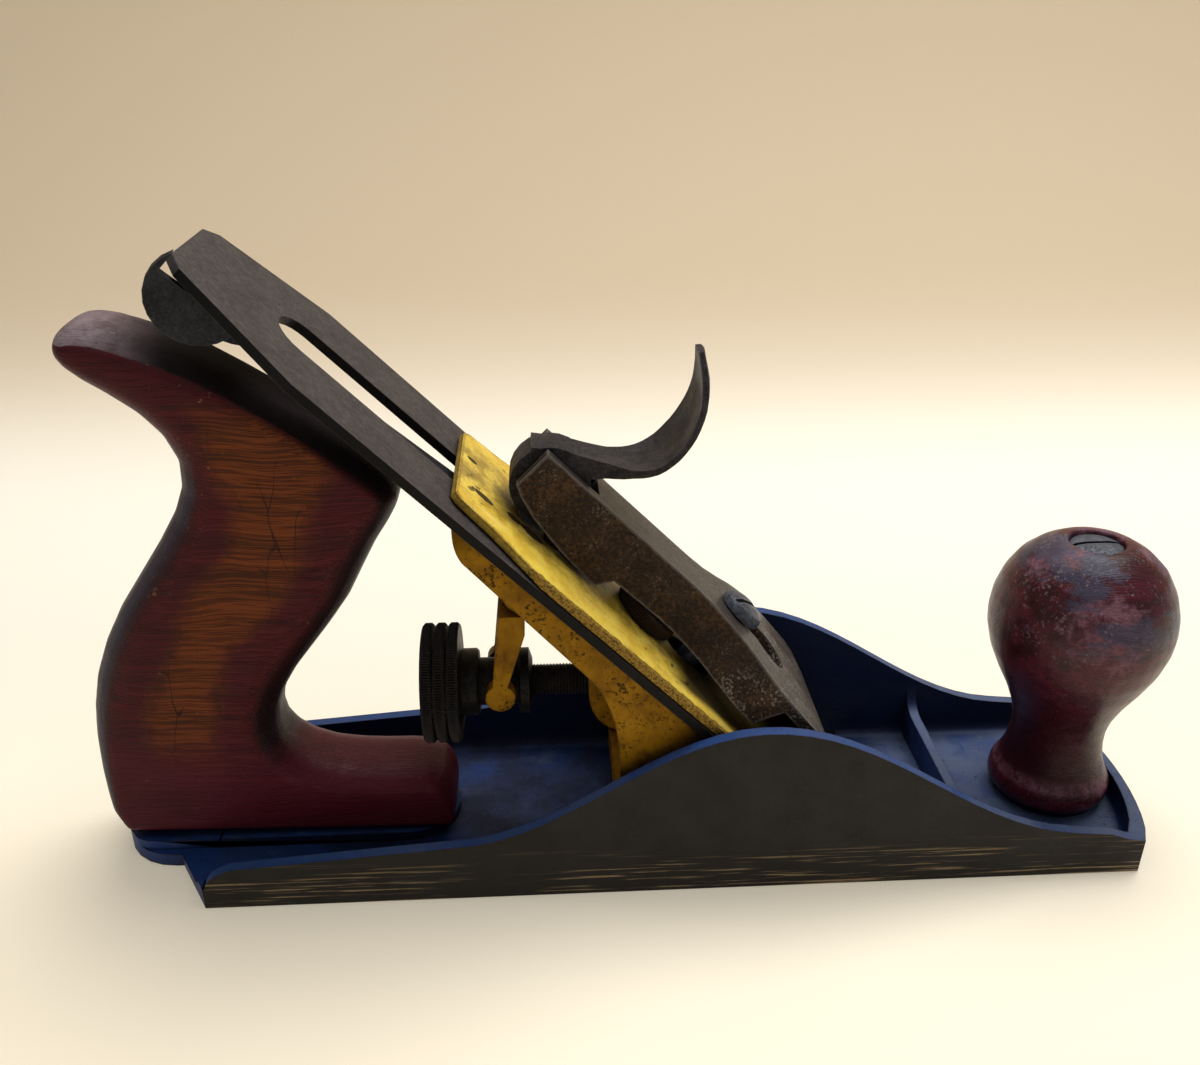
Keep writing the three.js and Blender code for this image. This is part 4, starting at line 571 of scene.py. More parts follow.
def knob_finish():
    """The knob's crackled maroon lacquer, rubbed dry on its crown and foot, with a painted
    highlight on its crown and front and a painted blue-grey reflection round its ball.
    """
    w = Finish("knob_stained_wood")
    place = w.place()
    x, _, z = w.axes(place)
    low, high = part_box("knob")
    middle = (low.x + high.x) / 2
    grain = w.effect("grain", place)
    figure = w.between(grain["Figure"], 0.36, 0.68)
    stain = w.blend(figure, "knob_stain", "maroon_deep")
    patch = w.noise(place, 75.0, 6.0, 0.68)
    fine = w.noise(place, 420.0, 5.0, 0.7)
    crown = w.between(z, *KNOB_CROWN)
    lit_front = w.between(x, middle + KNOB_LIT_FRONT[0], middle + KNOB_LIT_FRONT[1])
    # Partly wear, partly a painted highlight on the crown and the front side
    rubbed = w.times(w.between(patch, 0.5, 0.61),
                     w.between(w.most(crown, lit_front), 0.0, 1.0, 0.15, 1.0),
                     w.between(fine, 0.36, 0.56, 0.3, 1.0))
    colour = w.tint(stain, "wood_rubbed_and_lit", rubbed, 0.8)
    # Painted blue-grey reflection in a band round the ball
    sheen = w.noise(w.stretched(place, (0.6, 0.6, 1.6)), 60.0, 6.0, 0.72)
    sheen = w.times(w.between(sheen, 0.49, 0.56), w.between(z, *KNOB_SHEEN))
    colour = w.tint(colour, "wood_sheen", sheen, 0.75)
    lip = w.times(w.between(z, *KNOB_LIP[0]), w.between(z, *KNOB_LIP[1]))
    colour = w.tint(colour, "wood_rubbed_and_lit", lip, w.between(fine, 0.4, 0.6, 0.1, 0.7))
    cracks = w.mask("cracks", place, scale=520.0, width=0.08)
    colour = w.tint(colour, "maroon_deep", cracks, 0.5)
    pale = w.mask("specks", place, scale=1300.0, coverage=0.3)
    colour = w.tint(colour, "wood_pale", pale, w.between(crown, 0.0, 1.0, 0.15, 0.5))
    colour = w.tint(colour, "wood_dark", grain["Pores"], 0.35)
    neck = w.times(w.between(z, *KNOB_NECK[1]), w.between(z, *KNOB_NECK[0]))
    colour = w.tint(colour, "maroon_deep", neck, 0.8)
    # Dirt and painted shade in the knob's hollows
    grime = w.mask("grime", place, reach=0.01, amount=0.8)
    colour = w.tint(colour, "wood_dark", grime)
    rough = w.between(rubbed, 0.0, 1.0, 0.3, 0.5)
    height = w.less(w.times(patch, 0.7), w.times(w.plus(cracks, grain["Pores"]), 0.35))
    return w.surface(colour, rough, height, WOOD_RELIEF)


def ochre_finish():
    """Matt ochre paint on the frog and yoke, stained, specked and dirty in its corners."""
    w = Finish("frog_ochre_paint")
    place = w.place()
    mottle = w.noise(place, 120.0, 6.0, 0.65)
    base = w.blend(w.between(mottle, 0.35, 0.68), "ochre", "ochre_dull")
    stain = w.between(w.noise(w.stretched(place, (1.0, 1.0, 0.4)), 260.0, 6.0, 0.75), 0.52, 0.68)
    base = w.tint(base, "ochre_brown", stain, 0.55)
    hairs = w.effect("streaks", place, across=1100.0, along=150.0, lean=-0.8, coverage=0.26)
    base = w.tint(base, "chip", hairs["Mask"], 0.6)
    specks = w.mask("specks", place, scale=1300.0, coverage=0.3)
    edges = w.mask("edges", place, reach=0.0012, amount=0.5, breakup=480.0)
    base = w.tint(base, "soot_and_shadow", specks, 0.85)
    base = w.tint(base, "chip", edges, 0.75)
    # Dirt and painted shade in the frog's hollows
    grime = w.mask("grime", place, reach=0.014, amount=0.9)
    base = w.tint(base, "brown_deep_and_shade", grime)
    rough = w.between(specks, 0.0, 1.0, 0.52, 0.7)
    height = w.less(w.times(mottle, 0.6), w.most(specks, edges))
    return w.surface(base, rough, height, depth=0.00012, shine=0.1)


# The bed that the irons lie on: where its line meets the sole, in metres, its slope, its normal
# and the lean of lines along it
BED_FOOT = 0.0591
BED_SLOPE = 0.70711
BED_NORMAL = (0.7071, 0.0, 0.7071)
BED_LEAN = math.radians(-45)

# Chips on the cap iron, in metres: place up the bed and across, half length and half width; and,
# in shares of those halves, what a metre of raggedness adds and where a chip's edge fades
CAP_CHIPS = ((0.1309, -0.0092, 0.0028, 0.0013), (0.1352, 0.0051, 0.0014, 0.001),
             (0.1219, -0.0068, 0.0022, 0.0014), (0.1165, -0.007, 0.0036, 0.0017),
             (0.103, -0.0045, 0.005, 0.0014))
CHIP_RAGGED = 300.0
CHIP_EDGE = (1.1, 0.9)

# Ranges on the cap iron, in metres: its flaked rim, half its stained middle, and its end that is
# painted dark as the lever cap's shadow, by height and by half width
CAP_RIM = (0.0018, 0.0012)
CAP_MIDDLE = (0.0165, 0.009)
CAP_SHADOW = (0.056, 0.049)
CAP_SHADOW_HALF = (0.0215, 0.0175)


def yellow_finish():
    """The cap iron's cream-yellow paint: brushed, stained up the middle, chipped at its rim."""
    w = Finish("cap_iron_yellow_paint")
    place = w.place()
    x, y, z = w.axes(place)
    side = w.math("ABSOLUTE", y)
    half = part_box("cap_iron")[1].y
    strokes = w.effect("streaks", place, across=1000.0, along=60.0, lean=BED_LEAN, coverage=0.42)
    mottle = w.noise(place, 150.0, 6.0, 0.68)
    base = w.blend(w.between(mottle, 0.35, 0.7), "yellow", "yellow_dull")
    base = w.tint(base, "yellow_pale", strokes["Mask"], 0.45)
    ragged = w.sway(w.noise(place, 420.0, 6.0, 0.72), 0.0035)
    flaked = w.between(w.plus(side, ragged), half - CAP_RIM[0], half - CAP_RIM[1])
    edges = w.mask("edges", place, reach=0.0018, amount=0.85, breakup=380.0)
    inner = w.between(w.plus(side, w.times(ragged, 2.0)), *CAP_MIDDLE)
    inner = w.times(inner, w.between(mottle, 0.36, 0.6, 0.1, 1.0))
    base = w.tint(base, "yellow_stain", inner, 0.6)
    specks = w.mask("specks", place, scale=1300.0, coverage=0.18)
    chips = w.mask("specks", w.turn("ADD", place, (0.2, 0.4, 0.1)), scale=330.0, coverage=0.15)
    base = w.tint(base, "chip", specks, 0.6)
    along = w.times(w.less(z, w.less(x, BED_FOOT)), BED_SLOPE)
    for at, across, long, wide in CAP_CHIPS:
        off = w.point(w.math("DIVIDE", w.less(along, at), long),
                      w.math("DIVIDE", w.less(y, across), wide))
        reach = w.plus(w.turn("LENGTH", off), w.times(ragged, CHIP_RAGGED))
        chips = w.most(chips, w.between(reach, *CHIP_EDGE))
    gone = w.most(flaked, edges, chips)
    metal = w.blend(w.between(w.noise(place, 1700.0, 5.0, 0.75), 0.36, 0.6), "chip", "chip_pale")
    base = w.tint(base, metal, gone)
    base = w.tint(base, "chip", chips, 0.9)
    away = w.between(w.turn("DOT_PRODUCT", w.normal(), BED_NORMAL), 0.5, 0.1)
    base = w.tint(base, metal, away, 0.7)
    # Painted shadow of the lever cap on the cap iron's end
    under = w.times(w.between(z, *CAP_SHADOW), w.between(side, *CAP_SHADOW_HALF))
    base = w.tint(base, "brown_deep_and_shade", under, 0.92)
    # Dirt and painted shade in the cap iron's hollows
    grime = w.mask("grime", place, reach=0.007, amount=0.7)
    base = w.tint(base, "brown_deep_and_shade", grime)
    rough = w.between(gone, 0.0, 1.0, 0.45, 0.7)
    height = w.less(w.times(strokes["Value"], 0.3), gone)
    return w.surface(base, rough, height, depth=0.00016)


# Steels: material, colour, darker and lighter shades, metallic, and roughness from and to
STEELS = {
    "blade": ("iron_dull_steel", "blade", "#363031", "#6c6667", 0.0, 0.46, 0.6),
    "steel": ("screws_grey_steel", "steel", "#33343a", "#8f97a6", 0.4, 0.34, 0.55),
    "lever": ("lever_grey_steel", "lever_steel", "#140f0e", "#55555e", 0.15, 0.42, 0.62),
    "disc": ("lateral_dark_steel", "disc_steel", "#121214", "#43464e", 0.15, 0.42, 0.6),
    "black": ("wheel_black_steel", "black_steel", "#060505", "#3a3534", 0.2, 0.4, 0.55),
    "knurl": ("nut_brown_steel", "nut_steel", "#120b07", "#4d3a28", 0.1, 0.45, 0.6),
}


def steel_finish(key):
    """Old steel: rolled lines, dark spots, and edges rubbed bright; the blade's sides are darkened
    as painted shade.
    """
    name, colour, dark, light, metallic, rough_low, rough_high = STEELS[key]
    dark, light = (*paint(dark), 1.0), (*paint(light), 1.0)
    is_blade = key == "blade"
    w = Finish(name)
    place = w.place()
    lines = w.effect("streaks", place, across=1600.0, along=30.0, coverage=0.4,
                     lean=BED_LEAN if is_blade else 0.0)
    mottle = w.noise(place, 110.0, 6.0, 0.65)
    fine = w.noise(place, 700.0, 5.0, 0.7)
    specks = w.mask("specks", place, scale=1700.0, coverage=0.42)
    edges = w.mask("edges", place, reach=0.0008, amount=0.6, breakup=500.0)
    base = w.blend(w.between(mottle, 0.32, 0.7), colour, dark)
    base = w.tint(base, light, lines["Value"], 0.2)
    base = w.blend(w.between(fine, 0.4, 0.7, 0.0, 0.35), base, light)
    base = w.tint(base, dark, specks, 0.5)
    base = w.tint(base, light, edges, 0.6)
    # Dirt and painted shade in the steel's corners
    grime = w.mask("grime", place, reach=0.006, amount=0.7)
    base = w.tint(base, "steel_grime", grime)
    # Painted shade on the blade's sides
    if is_blade:
        sides = w.between(w.math("ABSOLUTE", w.axes(w.normal())[1]), 0.6, 0.9)
        base = w.tint(base, "steel_grime", sides)
    rough = w.between(mottle, 0.3, 0.7, rough_low, rough_high)
    height = w.less(w.times(lines["Value"], 0.3), specks)
    return w.surface(base, rough, height, 0.00006, metallic, 0.15)


# Heights, in metres, over which the lever cap turns nicked towards its nose
NOSE = (0.058, 0.048)


def brown_finish():
    """The lever cap's brown patina: rust specks on its sides, rubbed grey on its top and rim."""
    w = Finish("lever_cap_brown_patina")
    place = w.place()
    mottle = w.noise(place, 150.0, 6.0, 0.68)
    rust = w.mask("specks", place, scale=1000.0, coverage=0.46)
    pits = w.mask("specks", w.turn("ADD", place, (0.1, 0.3, 0.5)), scale=1400.0, coverage=0.42)
    pale = w.mask("specks", w.turn("ADD", place, (0.3, 0.1, 0.2)), scale=1900.0, coverage=0.28)
    edges = w.mask("edges", place, reach=0.0016, amount=0.75, breakup=300.0)
    base = w.blend(w.between(mottle, 0.35, 0.66), "brown", "brown_dull")
    base = w.tint(base, "rust", rust, 0.34)
    base = w.tint(base, "brown_deep_and_shade", pits, 0.6)
    top = w.between(w.turn("DOT_PRODUCT", w.normal(), BED_NORMAL), 0.6, 0.95)
    smooth = w.blend(w.between(mottle, 0.35, 0.7), "cap_grey", "cap_grey_dull")
    smooth = w.tint(smooth, "brown_dull", pits, 0.25)
    base = w.tint(base, smooth, top, 0.88)
    nose = w.between(w.axes(place)[2], *NOSE)
    nicks = w.mask("specks", w.turn("ADD", place, (0.5, 0.2, 0.1)), scale=1500.0, coverage=0.36)
    base = w.blend(w.most(w.times(pale, 0.3), w.times(nose, nicks, 0.7)), base, "cap_pale")
    base = w.tint(base, "cap_rim", edges, 0.7)
    # Dirt and painted shade in the lever cap's hollows
    grime = w.mask("grime", place, reach=0.008, amount=0.75)
    base = w.tint(base, "brown_deep_and_shade", grime)
    rough = w.between(top, 0.0, 1.0, 0.62, 0.42)
    height = w.less(mottle, w.plus(w.times(rust, 0.3), pits))
    return w.surface(base, rough, height, depth=0.00014)


FINISHES = {}


def finish(name):
    """A finish by name; all are built on first use."""
    if not FINISHES:
        FINISHES.update(casting=casting_finish(), tote=tote_finish(), knob=knob_finish(),
                        ochre=ochre_finish(), yellow=yellow_finish(), brown=brown_finish())
        FINISHES.update((key, steel_finish(key)) for key in STEELS)
    return FINISHES[name]


# Pieces


BODY_OF = {node: body for body, nodes in frame["record"]["behaviour"]["bodies"].items()
           for node in nodes}

# Points nearer than this are one, in metres; faces that turn less than the first angle are one
# face; and edges that turn more than the second, in degrees, are sharp
SEAM = 2e-6
FLAT_ANGLE = math.radians(0.7)
EDGE_ANGLE = 34.0


def clean_copy(node):
    """A CAD node's surface as a new mesh: joined at its seams, each flat area as one face."""
    mesh = bmesh.new()
    mesh.from_mesh(frame["nodes"][node].data)
    bmesh.ops.remove_doubles(mesh, verts=mesh.verts, dist=SEAM)
    bmesh.ops.dissolve_limit(mesh, angle_limit=FLAT_ANGLE, verts=mesh.verts, edges=mesh.edges)
    return mesh


def add_piece(mesh, node, finish_name, crease=EDGE_ANGLE):
    """Makes an object of a bmesh, shades it, and lets it stand for its CAD node on its body."""
    for face in mesh.faces:
        face.smooth = True
    for edge in mesh.edges:
        flat = len(edge.link_faces) == 2 and edge.calc_face_angle() < math.radians(crease)
        edge.smooth = flat
    data = bpy.data.meshes.new(f"{node}_look")
    mesh.to_mesh(data)
    mesh.free()
    piece = bpy.data.objects.new(f"{node}_look", data)
    bpy.context.scene.collection.objects.link(piece)
    data.materials.append(finish(finish_name))
    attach(piece, BODY_OF[node])
    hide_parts(node)
    return piece


def dress(node, finish_name, width, segments=2):
    """The plain way: a cleaned copy of the node with its finish, its edges rounded to a width."""
    bevel = add_piece(clean_copy(node), node, finish_name).modifiers.new("edges", "BEVEL")
    bevel.width = width
    bevel.segments = segments
    bevel.limit_method = "ANGLE"
    bevel.angle_limit = math.radians(EDGE_ANGLE)
    bevel.harden_normals = True


# The pocket of the tote's nut, in metres: its top's middle, how far it leans, its radius and floor
POCKET_TOP = Vector((-0.072, 0.0, 0.1095))
POCKET_LEAN = 0.26
POCKET_RADIUS = 0.0059
POCKET_LOW = 0.09


def close_pocket(mesh):
    """Closes the pocket of the tote's nut, which isn't seen in the rubbed wood of its top."""
    def in_pocket(face):
        spot = face.calc_center_median()
        off = spot.x - POCKET_TOP.x - POCKET_LEAN * (spot.z - POCKET_TOP.z)
        return spot.z > POCKET_LOW and math.hypot(off, spot.y) < POCKET_RADIUS

    walls = [face for face in mesh.faces if in_pocket(face)]
    bmesh.ops.delete(mesh, geom=walls, context="FACES")
    bmesh.ops.holes_fill(mesh, edges=[edge for edge in mesh.edges if edge.is_boundary])


# How strongly and how often the handles' meshes are eased
EASE_SHARE = 0.5
EASE_ROUNDS = 6


def carve_wood(node, finish_name, step):
    """A wooden handle: an even fine mesh over the solid, eased as by long use."""
    mesh = clean_copy(node)
    if node == "tote":
        close_pocket(mesh)
    piece = add_piece(mesh, node, finish_name)
    remesh = piece.modifiers.new("even", "REMESH")
    remesh.mode = "VOXEL"
    remesh.voxel_size = step
    remesh.use_smooth_shade = True
    ease = piece.modifiers.new("ease", "SMOOTH")
    ease.factor = EASE_SHARE
    ease.iterations = EASE_ROUNDS
    graph = bpy.context.evaluated_depsgraph_get()
    even = bpy.data.meshes.new_from_object(piece.evaluated_get(graph))
    piece.modifiers.clear()
    piece.data = even
    even.materials.clear()
    even.materials.append(finish(finish_name))


def turned_mesh(rows, place, capped=False):
    """A surface turned round an axis: rows of (along, reaches), and place to set each point."""
    mesh = bmesh.new()
    rings = []
    for along, reaches in rows:
        steps = [math.tau * k / len(reaches) for k in range(len(reaches))]
        rings.append([mesh.verts.new(place(along, reach * math.cos(step), reach * math.sin(step)))
                      for reach, step in zip(reaches, steps)])
    pairs = list(zip(rings, rings[1:]))
    if capped:
        mesh.faces.new(rings[0])
        mesh.faces.new(rings[-1])
    else:
        pairs.append((rings[-1], rings[0]))
    for near, far in pairs:
        for k in range(len(near)):
            mesh.faces.new((near[k - 1], near[k], far[k], far[k - 1]))
    bmesh.ops.recalc_face_normals(mesh, faces=mesh.faces)
    return mesh


def knurled(radius, teeth, depth):
    """The reaches of one row with teeth cut to a depth."""
    return [radius - depth * dip for _ in range(teeth) for dip in (0.0, 0.5, 1.0, 0.5)]


# Edges that turn more than this, in degrees, stay sharp on knurls and on the thread
KNURL_CREASE = 24.0
THREAD_CREASE = 50.0

# The depth wheel in mm: where its rings start, one ring's rows as along, radius and depth of its
# knurls, and the rows ahead of the rings; then its grooves' radius and its bore's
WHEEL_RINGS = (-47.4, -44.25, -41.1)
WHEEL_RING_ROWS = ((0.0, 14.25, 0.0), (0.55, 14.8, 0.45), (2.05, 14.8, 0.45), (2.6, 14.25, 0.0))
WHEEL_FRONT_ROWS = ((-38.5, 10.8), (-37.95, 8.3), (-34.45, 8.3), (-33.9, 7.75), (-33.9, 5.9),
                    (-24.3, 5.9), (-24.3, 7.55), (-23.75, 8.1), (-21.7, 8.1), (-20.8, 5.6),
                    (-20.8, 4.2))
WHEEL_CORE = 13.3
WHEEL_BORE = 4.2

# How high the wheel's and the stud's axis is, in mm
STUD_HIGH = 42.4


def along_stud(along, across, up):
    """A point round the stud's axis, given in mm."""
    return (along / 1000, across / 1000, (STUD_HIGH + up) / 1000)


def build_wheel(sizes):
    """The depth wheel: three finely knurled rings, a grooved hub, a collar and a bore."""
    teeth = sizes.wheel_knurls
    rows = [(WHEEL_RINGS[0], WHEEL_BORE, 0.0)]
    for ring in WHEEL_RINGS:
        if ring > WHEEL_RINGS[0]:
            rows += [(rows[-1][0], WHEEL_CORE, 0.0), (ring, WHEEL_CORE, 0.0)]
        rows += [(ring + along, radius, depth) for along, radius, depth in WHEEL_RING_ROWS]
    rows += [(along, radius, 0.0) for along, radius in WHEEL_FRONT_ROWS]
    mesh = turned_mesh([(along, knurled(radius, teeth, depth)) for along, radius, depth in rows],
                       along_stud)
    add_piece(mesh, "adjuster_wheel", "black", KNURL_CREASE)


# The stud in mm: its ends, where its thread starts and stops, its radius and the thread's depth;
# and how many points go round it and rows go to one turn of the thread
STUD_ENDS = (-44.0, 4.0)
STUD_THREAD = (-27.0, -7.4)
STUD_RADIUS = 4.0
THREAD_DEPTH = 0.5
STUD_STEPS = 36
TURN_ROWS = 4


def build_stud(sizes):
    """The stud that the depth wheel runs on, with its thread cut round it."""
    pitch = sizes.thread_pitch * 1000
    rows_cut = round((STUD_THREAD[1] - STUD_THREAD[0]) / pitch * TURN_ROWS)
    plain = [STUD_RADIUS] * STUD_STEPS
    rows = [(STUD_ENDS[0], plain), (STUD_THREAD[0] - pitch, plain)]
    for step in range(rows_cut + 1):
        turns = [step / TURN_ROWS + k / STUD_STEPS for k in range(STUD_STEPS)]
        rows.append((STUD_THREAD[0] + step * pitch / TURN_ROWS,
                     [STUD_RADIUS - THREAD_DEPTH * abs(2 * (turn % 1) - 1) for turn in turns]))
    rows += [(STUD_THREAD[1] + pitch, plain), (STUD_ENDS[1], plain)]
    add_piece(turned_mesh(rows, along_stud, True), "adjuster_stud", "black", THREAD_CREASE)


# The cap iron's nut in mm: rows of height above the bed, radius and depth of its knurls; and
# where its axis meets the bed, as x and z
NUT_ROWS = ((7.9, 2.5, 0.0), (5.1, 2.5, 0.0), (5.1, 7.95, 0.0), (5.55, 8.5, 0.4), (8.35, 8.5, 0.4),
            (8.8, 7.95, 0.0))
NUT_FOOT = (2.602, 56.498)


def over_bed(height, across, along):
    """A point round the nut's axis, which stands square on the bed, given in mm."""
    slope = math.sqrt(0.5)
    return ((NUT_FOOT[0] + slope * (height - along)) / 1000, across / 1000,
            (NUT_FOOT[1] + slope * (height + along)) / 1000)


def build_nut(sizes):
    """The cap iron's finely knurled nut."""
    rows = [(height, knurled(radius, sizes.nut_knurls, depth))
            for height, radius, depth in NUT_ROWS]
    add_piece(turned_mesh(rows, over_bed, True), "cap_iron_nut", "knurl", KNURL_CREASE)


# Operators


# How much wider the lever cap's edges are rounded than those of the other castings
CAP_ROUNDING = 1.6


class PLANE_OT_casting(bpy.types.Operator):
    """Dress the cast body in worn blue paint and bare iron"""

    bl_idname = "plane.casting"
    bl_label = "Casting"

    def execute(self, context):
        dress("body", "casting", context.scene.plane_sizes.casting_round, 3)
        return {"FINISHED"}


class PLANE_OT_handles(bpy.types.Operator):
    """Dress the tote and the knob in stained, worn wood"""

    bl_idname = "plane.handles"
    bl_label = "Wooden handles"

    def execute(self, context):
        step = context.scene.plane_sizes.wood_step
        carve_wood("tote", "tote", step)
        carve_wood("knob", "knob", step)
        return {"FINISHED"}


class PLANE_OT_fixings(bpy.types.Operator):
    """Dress the bolts, nuts, screws, washers and rivets"""

    bl_idname = "plane.fixings"
    bl_label = "Screws, nuts and rivets"

    def execute(self, context):
        width = context.scene.plane_sizes.steel_round
        for node in ("tote_bolt", "tote_nut", "knob_bolt", "knob_nut", "frog_screw_near",
                     "frog_screw_far", "frog_washer_near", "frog_washer_far", "yoke_pin",
                     "lateral_rivet", "cap_iron_screw", "lever_cap_screw", "cam_pin",
                     "spring_rivet", "lever_cap_spring", "lateral_roller"):
            dress(node, "steel", width)
        return {"FINISHED"}


class PLANE_OT_frog(bpy.types.Operator):
    """Dress the frog and the yoke in ochre paint"""

    bl_idname = "plane.frog"
    bl_label = "Frog and yoke"

    def execute(self, context):
        width = context.scene.plane_sizes.cast_round
        dress("frog", "ochre", width, 3)
        dress("yoke", "ochre", width, 3)
        return {"FINISHED"}


class PLANE_OT_adjuster(bpy.types.Operator):
    """Dress the depth wheel, its stud and the knurled nut"""

    bl_idname = "plane.adjuster"
    bl_label = "Depth adjuster"

    def execute(self, context):
        sizes = context.scene.plane_sizes
        build_wheel(sizes)
        build_stud(sizes)
        build_nut(sizes)
        return {"FINISHED"}


class PLANE_OT_irons(bpy.types.Operator):
    """Dress the cutting iron and the yellow cap iron"""

    bl_idname = "plane.irons"
    bl_label = "Cutting iron and cap iron"

    def execute(self, context):
        width = context.scene.plane_sizes.steel_round
        dress("iron", "blade", width)
        dress("cap_iron", "yellow", width)
        return {"FINISHED"}


class PLANE_OT_lateral(bpy.types.Operator):
    """Dress the lateral lever"""

    bl_idname = "plane.lateral"
    bl_label = "Lateral lever"

    def execute(self, context):
        dress("lateral_lever", "disc", context.scene.plane_sizes.steel_round)
        return {"FINISHED"}


class PLANE_OT_lever_cap(bpy.types.Operator):
    """Dress the lever cap and its cam lever"""

    bl_idname = "plane.lever_cap"
    bl_label = "Lever cap and cam lever"

    def execute(self, context):
        width = context.scene.plane_sizes.cast_round
        dress("lever_cap", "brown", width * CAP_ROUNDING, 3)
        dress("cam_lever", "lever", width, 3)
        return {"FINISHED"}


class PLANE_OT_stage(bpy.types.Operator):
    """Build the paper sweep, the soft lights and the camera"""

    bl_idname = "plane.stage"
    bl_label = "Stage, light and camera"

    def execute(self, context):
        build_sweep()
        build_lights(context.scene)
        build_camera(context.scene)
        return {"FINISHED"}


# Stage


# The paper in metres: its front end, where it starts to bend, the bend's radius, its height and
# half its width, how far it lies under the plane, and the steps in its bend
SWEEP_FRONT = -2.0
SWEEP_BACK = 0.34
SWEEP_BEND = 0.3
SWEEP_TALL = 1.6
SWEEP_WIDE = 3.0
FLOOR_DROP = 0.0002
SWEEP_STEPS = 24


def build_sweep():
    """A sheet of pale paper: flat under the plane, bent up behind it."""
    line = [(SWEEP_FRONT, 0.0), (SWEEP_BACK, 0.0)]
    for step in range(1, SWEEP_STEPS + 1):
        angle = math.radians(90 * step / SWEEP_STEPS)
        line.append((SWEEP_BACK + SWEEP_BEND * math.sin(angle),
                     SWEEP_BEND * (1 - math.cos(angle))))
    line.append((SWEEP_BACK + SWEEP_BEND, SWEEP_TALL))
    mesh = bmesh.new()
    rows = [[mesh.verts.new((x, y, z - FLOOR_DROP)) for x in (-SWEEP_WIDE, SWEEP_WIDE)]
            for y, z in line]
    for low, high in zip(rows, rows[1:]):
        mesh.faces.new((low[0], low[1], high[1], high[0])).smooth = True
    data = bpy.data.meshes.new("paper_sweep")
    mesh.to_mesh(data)
    mesh.free()
    sweep = bpy.data.objects.new("paper_sweep", data)
    bpy.context.scene.collection.objects.link(sweep)
    data.materials.append(paper_finish())


# Where the paper turns from its front colour to the floor's and on to the wall's, in metres back
PAPER_FLOOR = (-0.09, 0.17)
PAPER_WALL = (0.2, 0.49)

# Share of its own colour that the paper adds where the camera sees it, and where that fades
PAPER_GLOW = 0.3
GLOW_FADE = (-0.09, 0.12)


def paper_finish():
    """Cream paper on the floor that turns beige up the back."""
    w = Finish("pale_paper")
    place = w.place()
    y = w.axes(place)[1]
    rise = w.between(y, *PAPER_WALL)
    colour = w.blend(w.between(y, *PAPER_FLOOR), "floor_front", "floor")
    colour = w.tint(colour, "wall", rise)
    colour = w.tint(colour, "fibre", w.noise(place, 900.0, 3.0, 0.6), 0.03)
    rays = w.node("ShaderNodeLightPath").outputs
    seen = w.most(rays["Is Camera Ray"], rays["Is Glossy Ray"], rays["Is Transmission Ray"])
    glow = w.times(seen, w.less(1.0, rise), w.between(y, *GLOW_FADE, 1.0, 0.3))
    w.feed(w.shader.inputs["Emission Color"], w.blend(glow, (0.0, 0.0, 0.0, 1.0), colour))
    w.shader.inputs["Emission Strength"].default_value = PAPER_GLOW
    return w.surface(colour, 0.9, shine=0.1)


# The light above and behind: its place, what it shines at and its size in metres, and its watts
KEY_PLACE = Vector((0.25, 0.4, 1.05))
KEY_AIM = Vector((0.0, 0.0, 0.05))
KEY_SIZE = (1.0, 0.8)
KEY_POWER = 12.5

# The even light from all round
ROOM_COLOUR = (1.0, 0.985, 0.96, 1.0)
ROOM_STRENGTH = 0.38


def build_lights(scene):
    """A wide soft light above and behind, and an even pale world."""
    data = bpy.data.lights.new("key_light", "AREA")
    data.shape = "RECTANGLE"
    data.size, data.size_y = KEY_SIZE
    data.energy = KEY_POWER
    light = bpy.data.objects.new("key_light", data)
    scene.collection.objects.link(light)
    light.location = KEY_PLACE
    light.rotation_euler = (KEY_AIM - KEY_PLACE).to_track_quat("-Z", "Y").to_euler()
    world = bpy.data.worlds.new("pale_room")
    world.use_nodes = True
    background = world.node_tree.nodes["Background"]
    background.inputs["Color"].default_value = ROOM_COLOUR
    background.inputs["Strength"].default_value = ROOM_STRENGTH
    scene.world = world
    scene.view_settings.view_transform = "Standard"


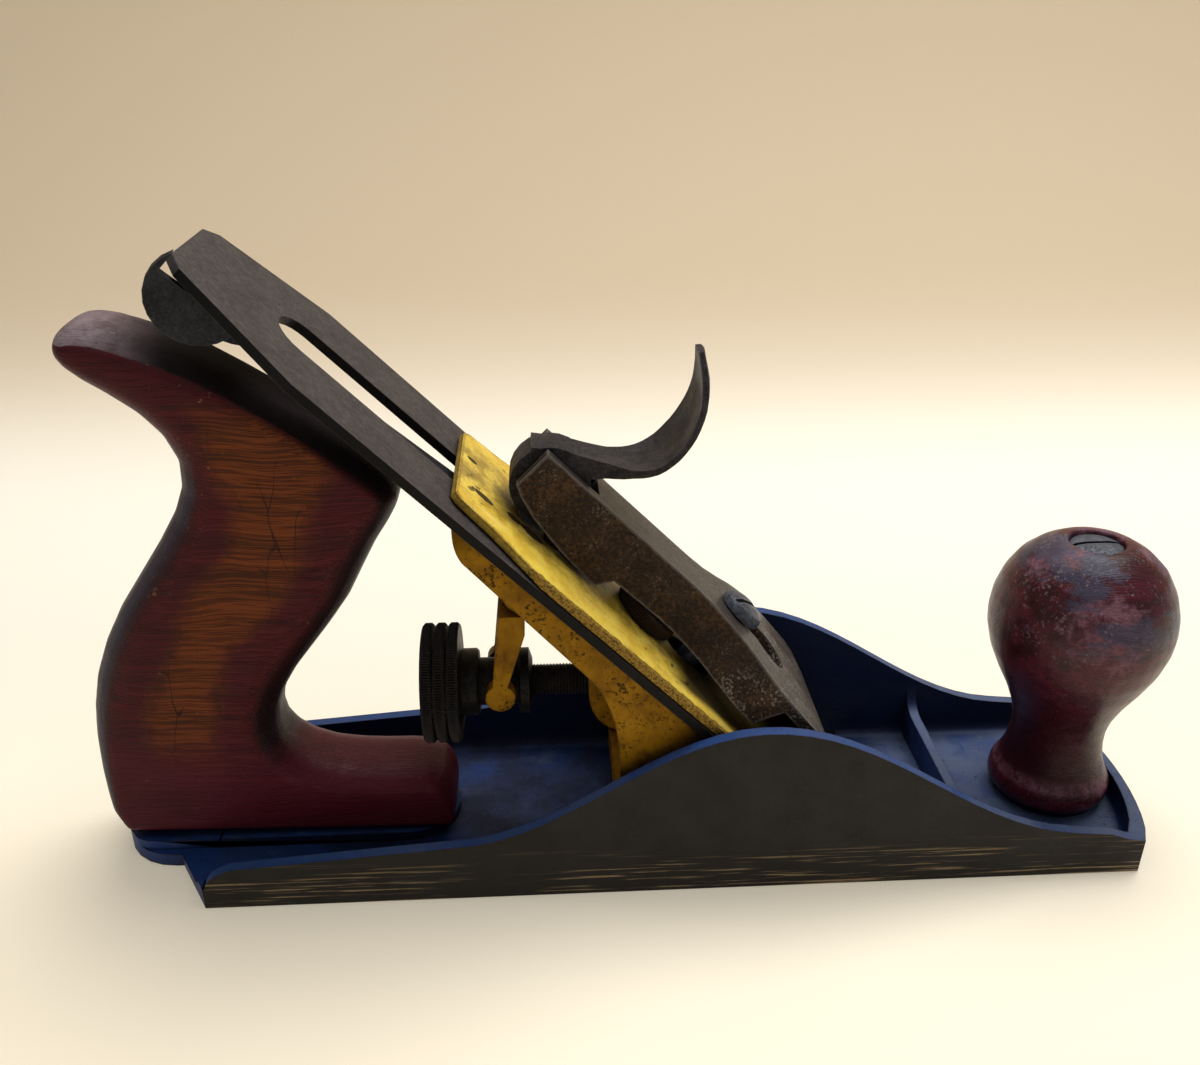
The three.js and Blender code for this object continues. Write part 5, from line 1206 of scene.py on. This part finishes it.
# The camera: its place in metres, how far it looks down and to the right in degrees, its lens and
# sensor in mm, and its shift in shares of the sensor
CAMERA_PLACE = (-0.01778, -0.24139, 0.19781)
CAMERA_DOWN = 27.22
CAMERA_ACROSS = 3.24
CAMERA_LENS = 34.47
CAMERA_SENSOR = 36.0
CAMERA_LIFT = 0.0284


def build_camera(scene):
    """The photograph's viewpoint."""
    data = bpy.data.cameras.new("photo_view")
    data.lens = CAMERA_LENS
    data.sensor_width = CAMERA_SENSOR
    data.shift_y = CAMERA_LIFT
    data.clip_start = 0.01
    camera = bpy.data.objects.new("photo_view", data)
    scene.collection.objects.link(camera)
    camera.location = CAMERA_PLACE
    camera.rotation_euler = (math.radians(90 - CAMERA_DOWN), 0.0, math.radians(-CAMERA_ACROSS))
    scene.camera = camera


# Panel and run


OPERATORS = (PLANE_OT_stage, PLANE_OT_casting, PLANE_OT_handles, PLANE_OT_fixings, PLANE_OT_frog,
             PLANE_OT_adjuster, PLANE_OT_irons, PLANE_OT_lateral, PLANE_OT_lever_cap)


class PLANE_PT_sidebar(bpy.types.Panel):
    """Lists the plane's pieces in the sidebar"""

    bl_label = "Smoothing plane"
    bl_space_type = "VIEW_3D"
    bl_region_type = "UI"
    bl_category = "Plane"

    def draw(self, context):
        for operator in OPERATORS:
            self.layout.operator(operator.bl_idname)
        for group in (context.scene.plane_sizes, context.scene.plane_colours):
            for key in group.__annotations__:
                self.layout.prop(group, key)


CLASSES = (PlaneSizes, PlaneColours, *OPERATORS, PLANE_PT_sidebar)


def register():
    for kind in CLASSES:
        bpy.utils.register_class(kind)
    bpy.types.Scene.plane_sizes = PointerProperty(type=PlaneSizes)
    bpy.types.Scene.plane_colours = PointerProperty(type=PlaneColours)


def unregister():
    del bpy.types.Scene.plane_colours
    del bpy.types.Scene.plane_sizes
    for kind in reversed(CLASSES):
        bpy.utils.unregister_class(kind)


def main():
    register()
    for operator in OPERATORS:
        group, name = operator.bl_idname.split(".")
        getattr(getattr(bpy.ops, group), name)()


if __name__ == "__main__":
    main()
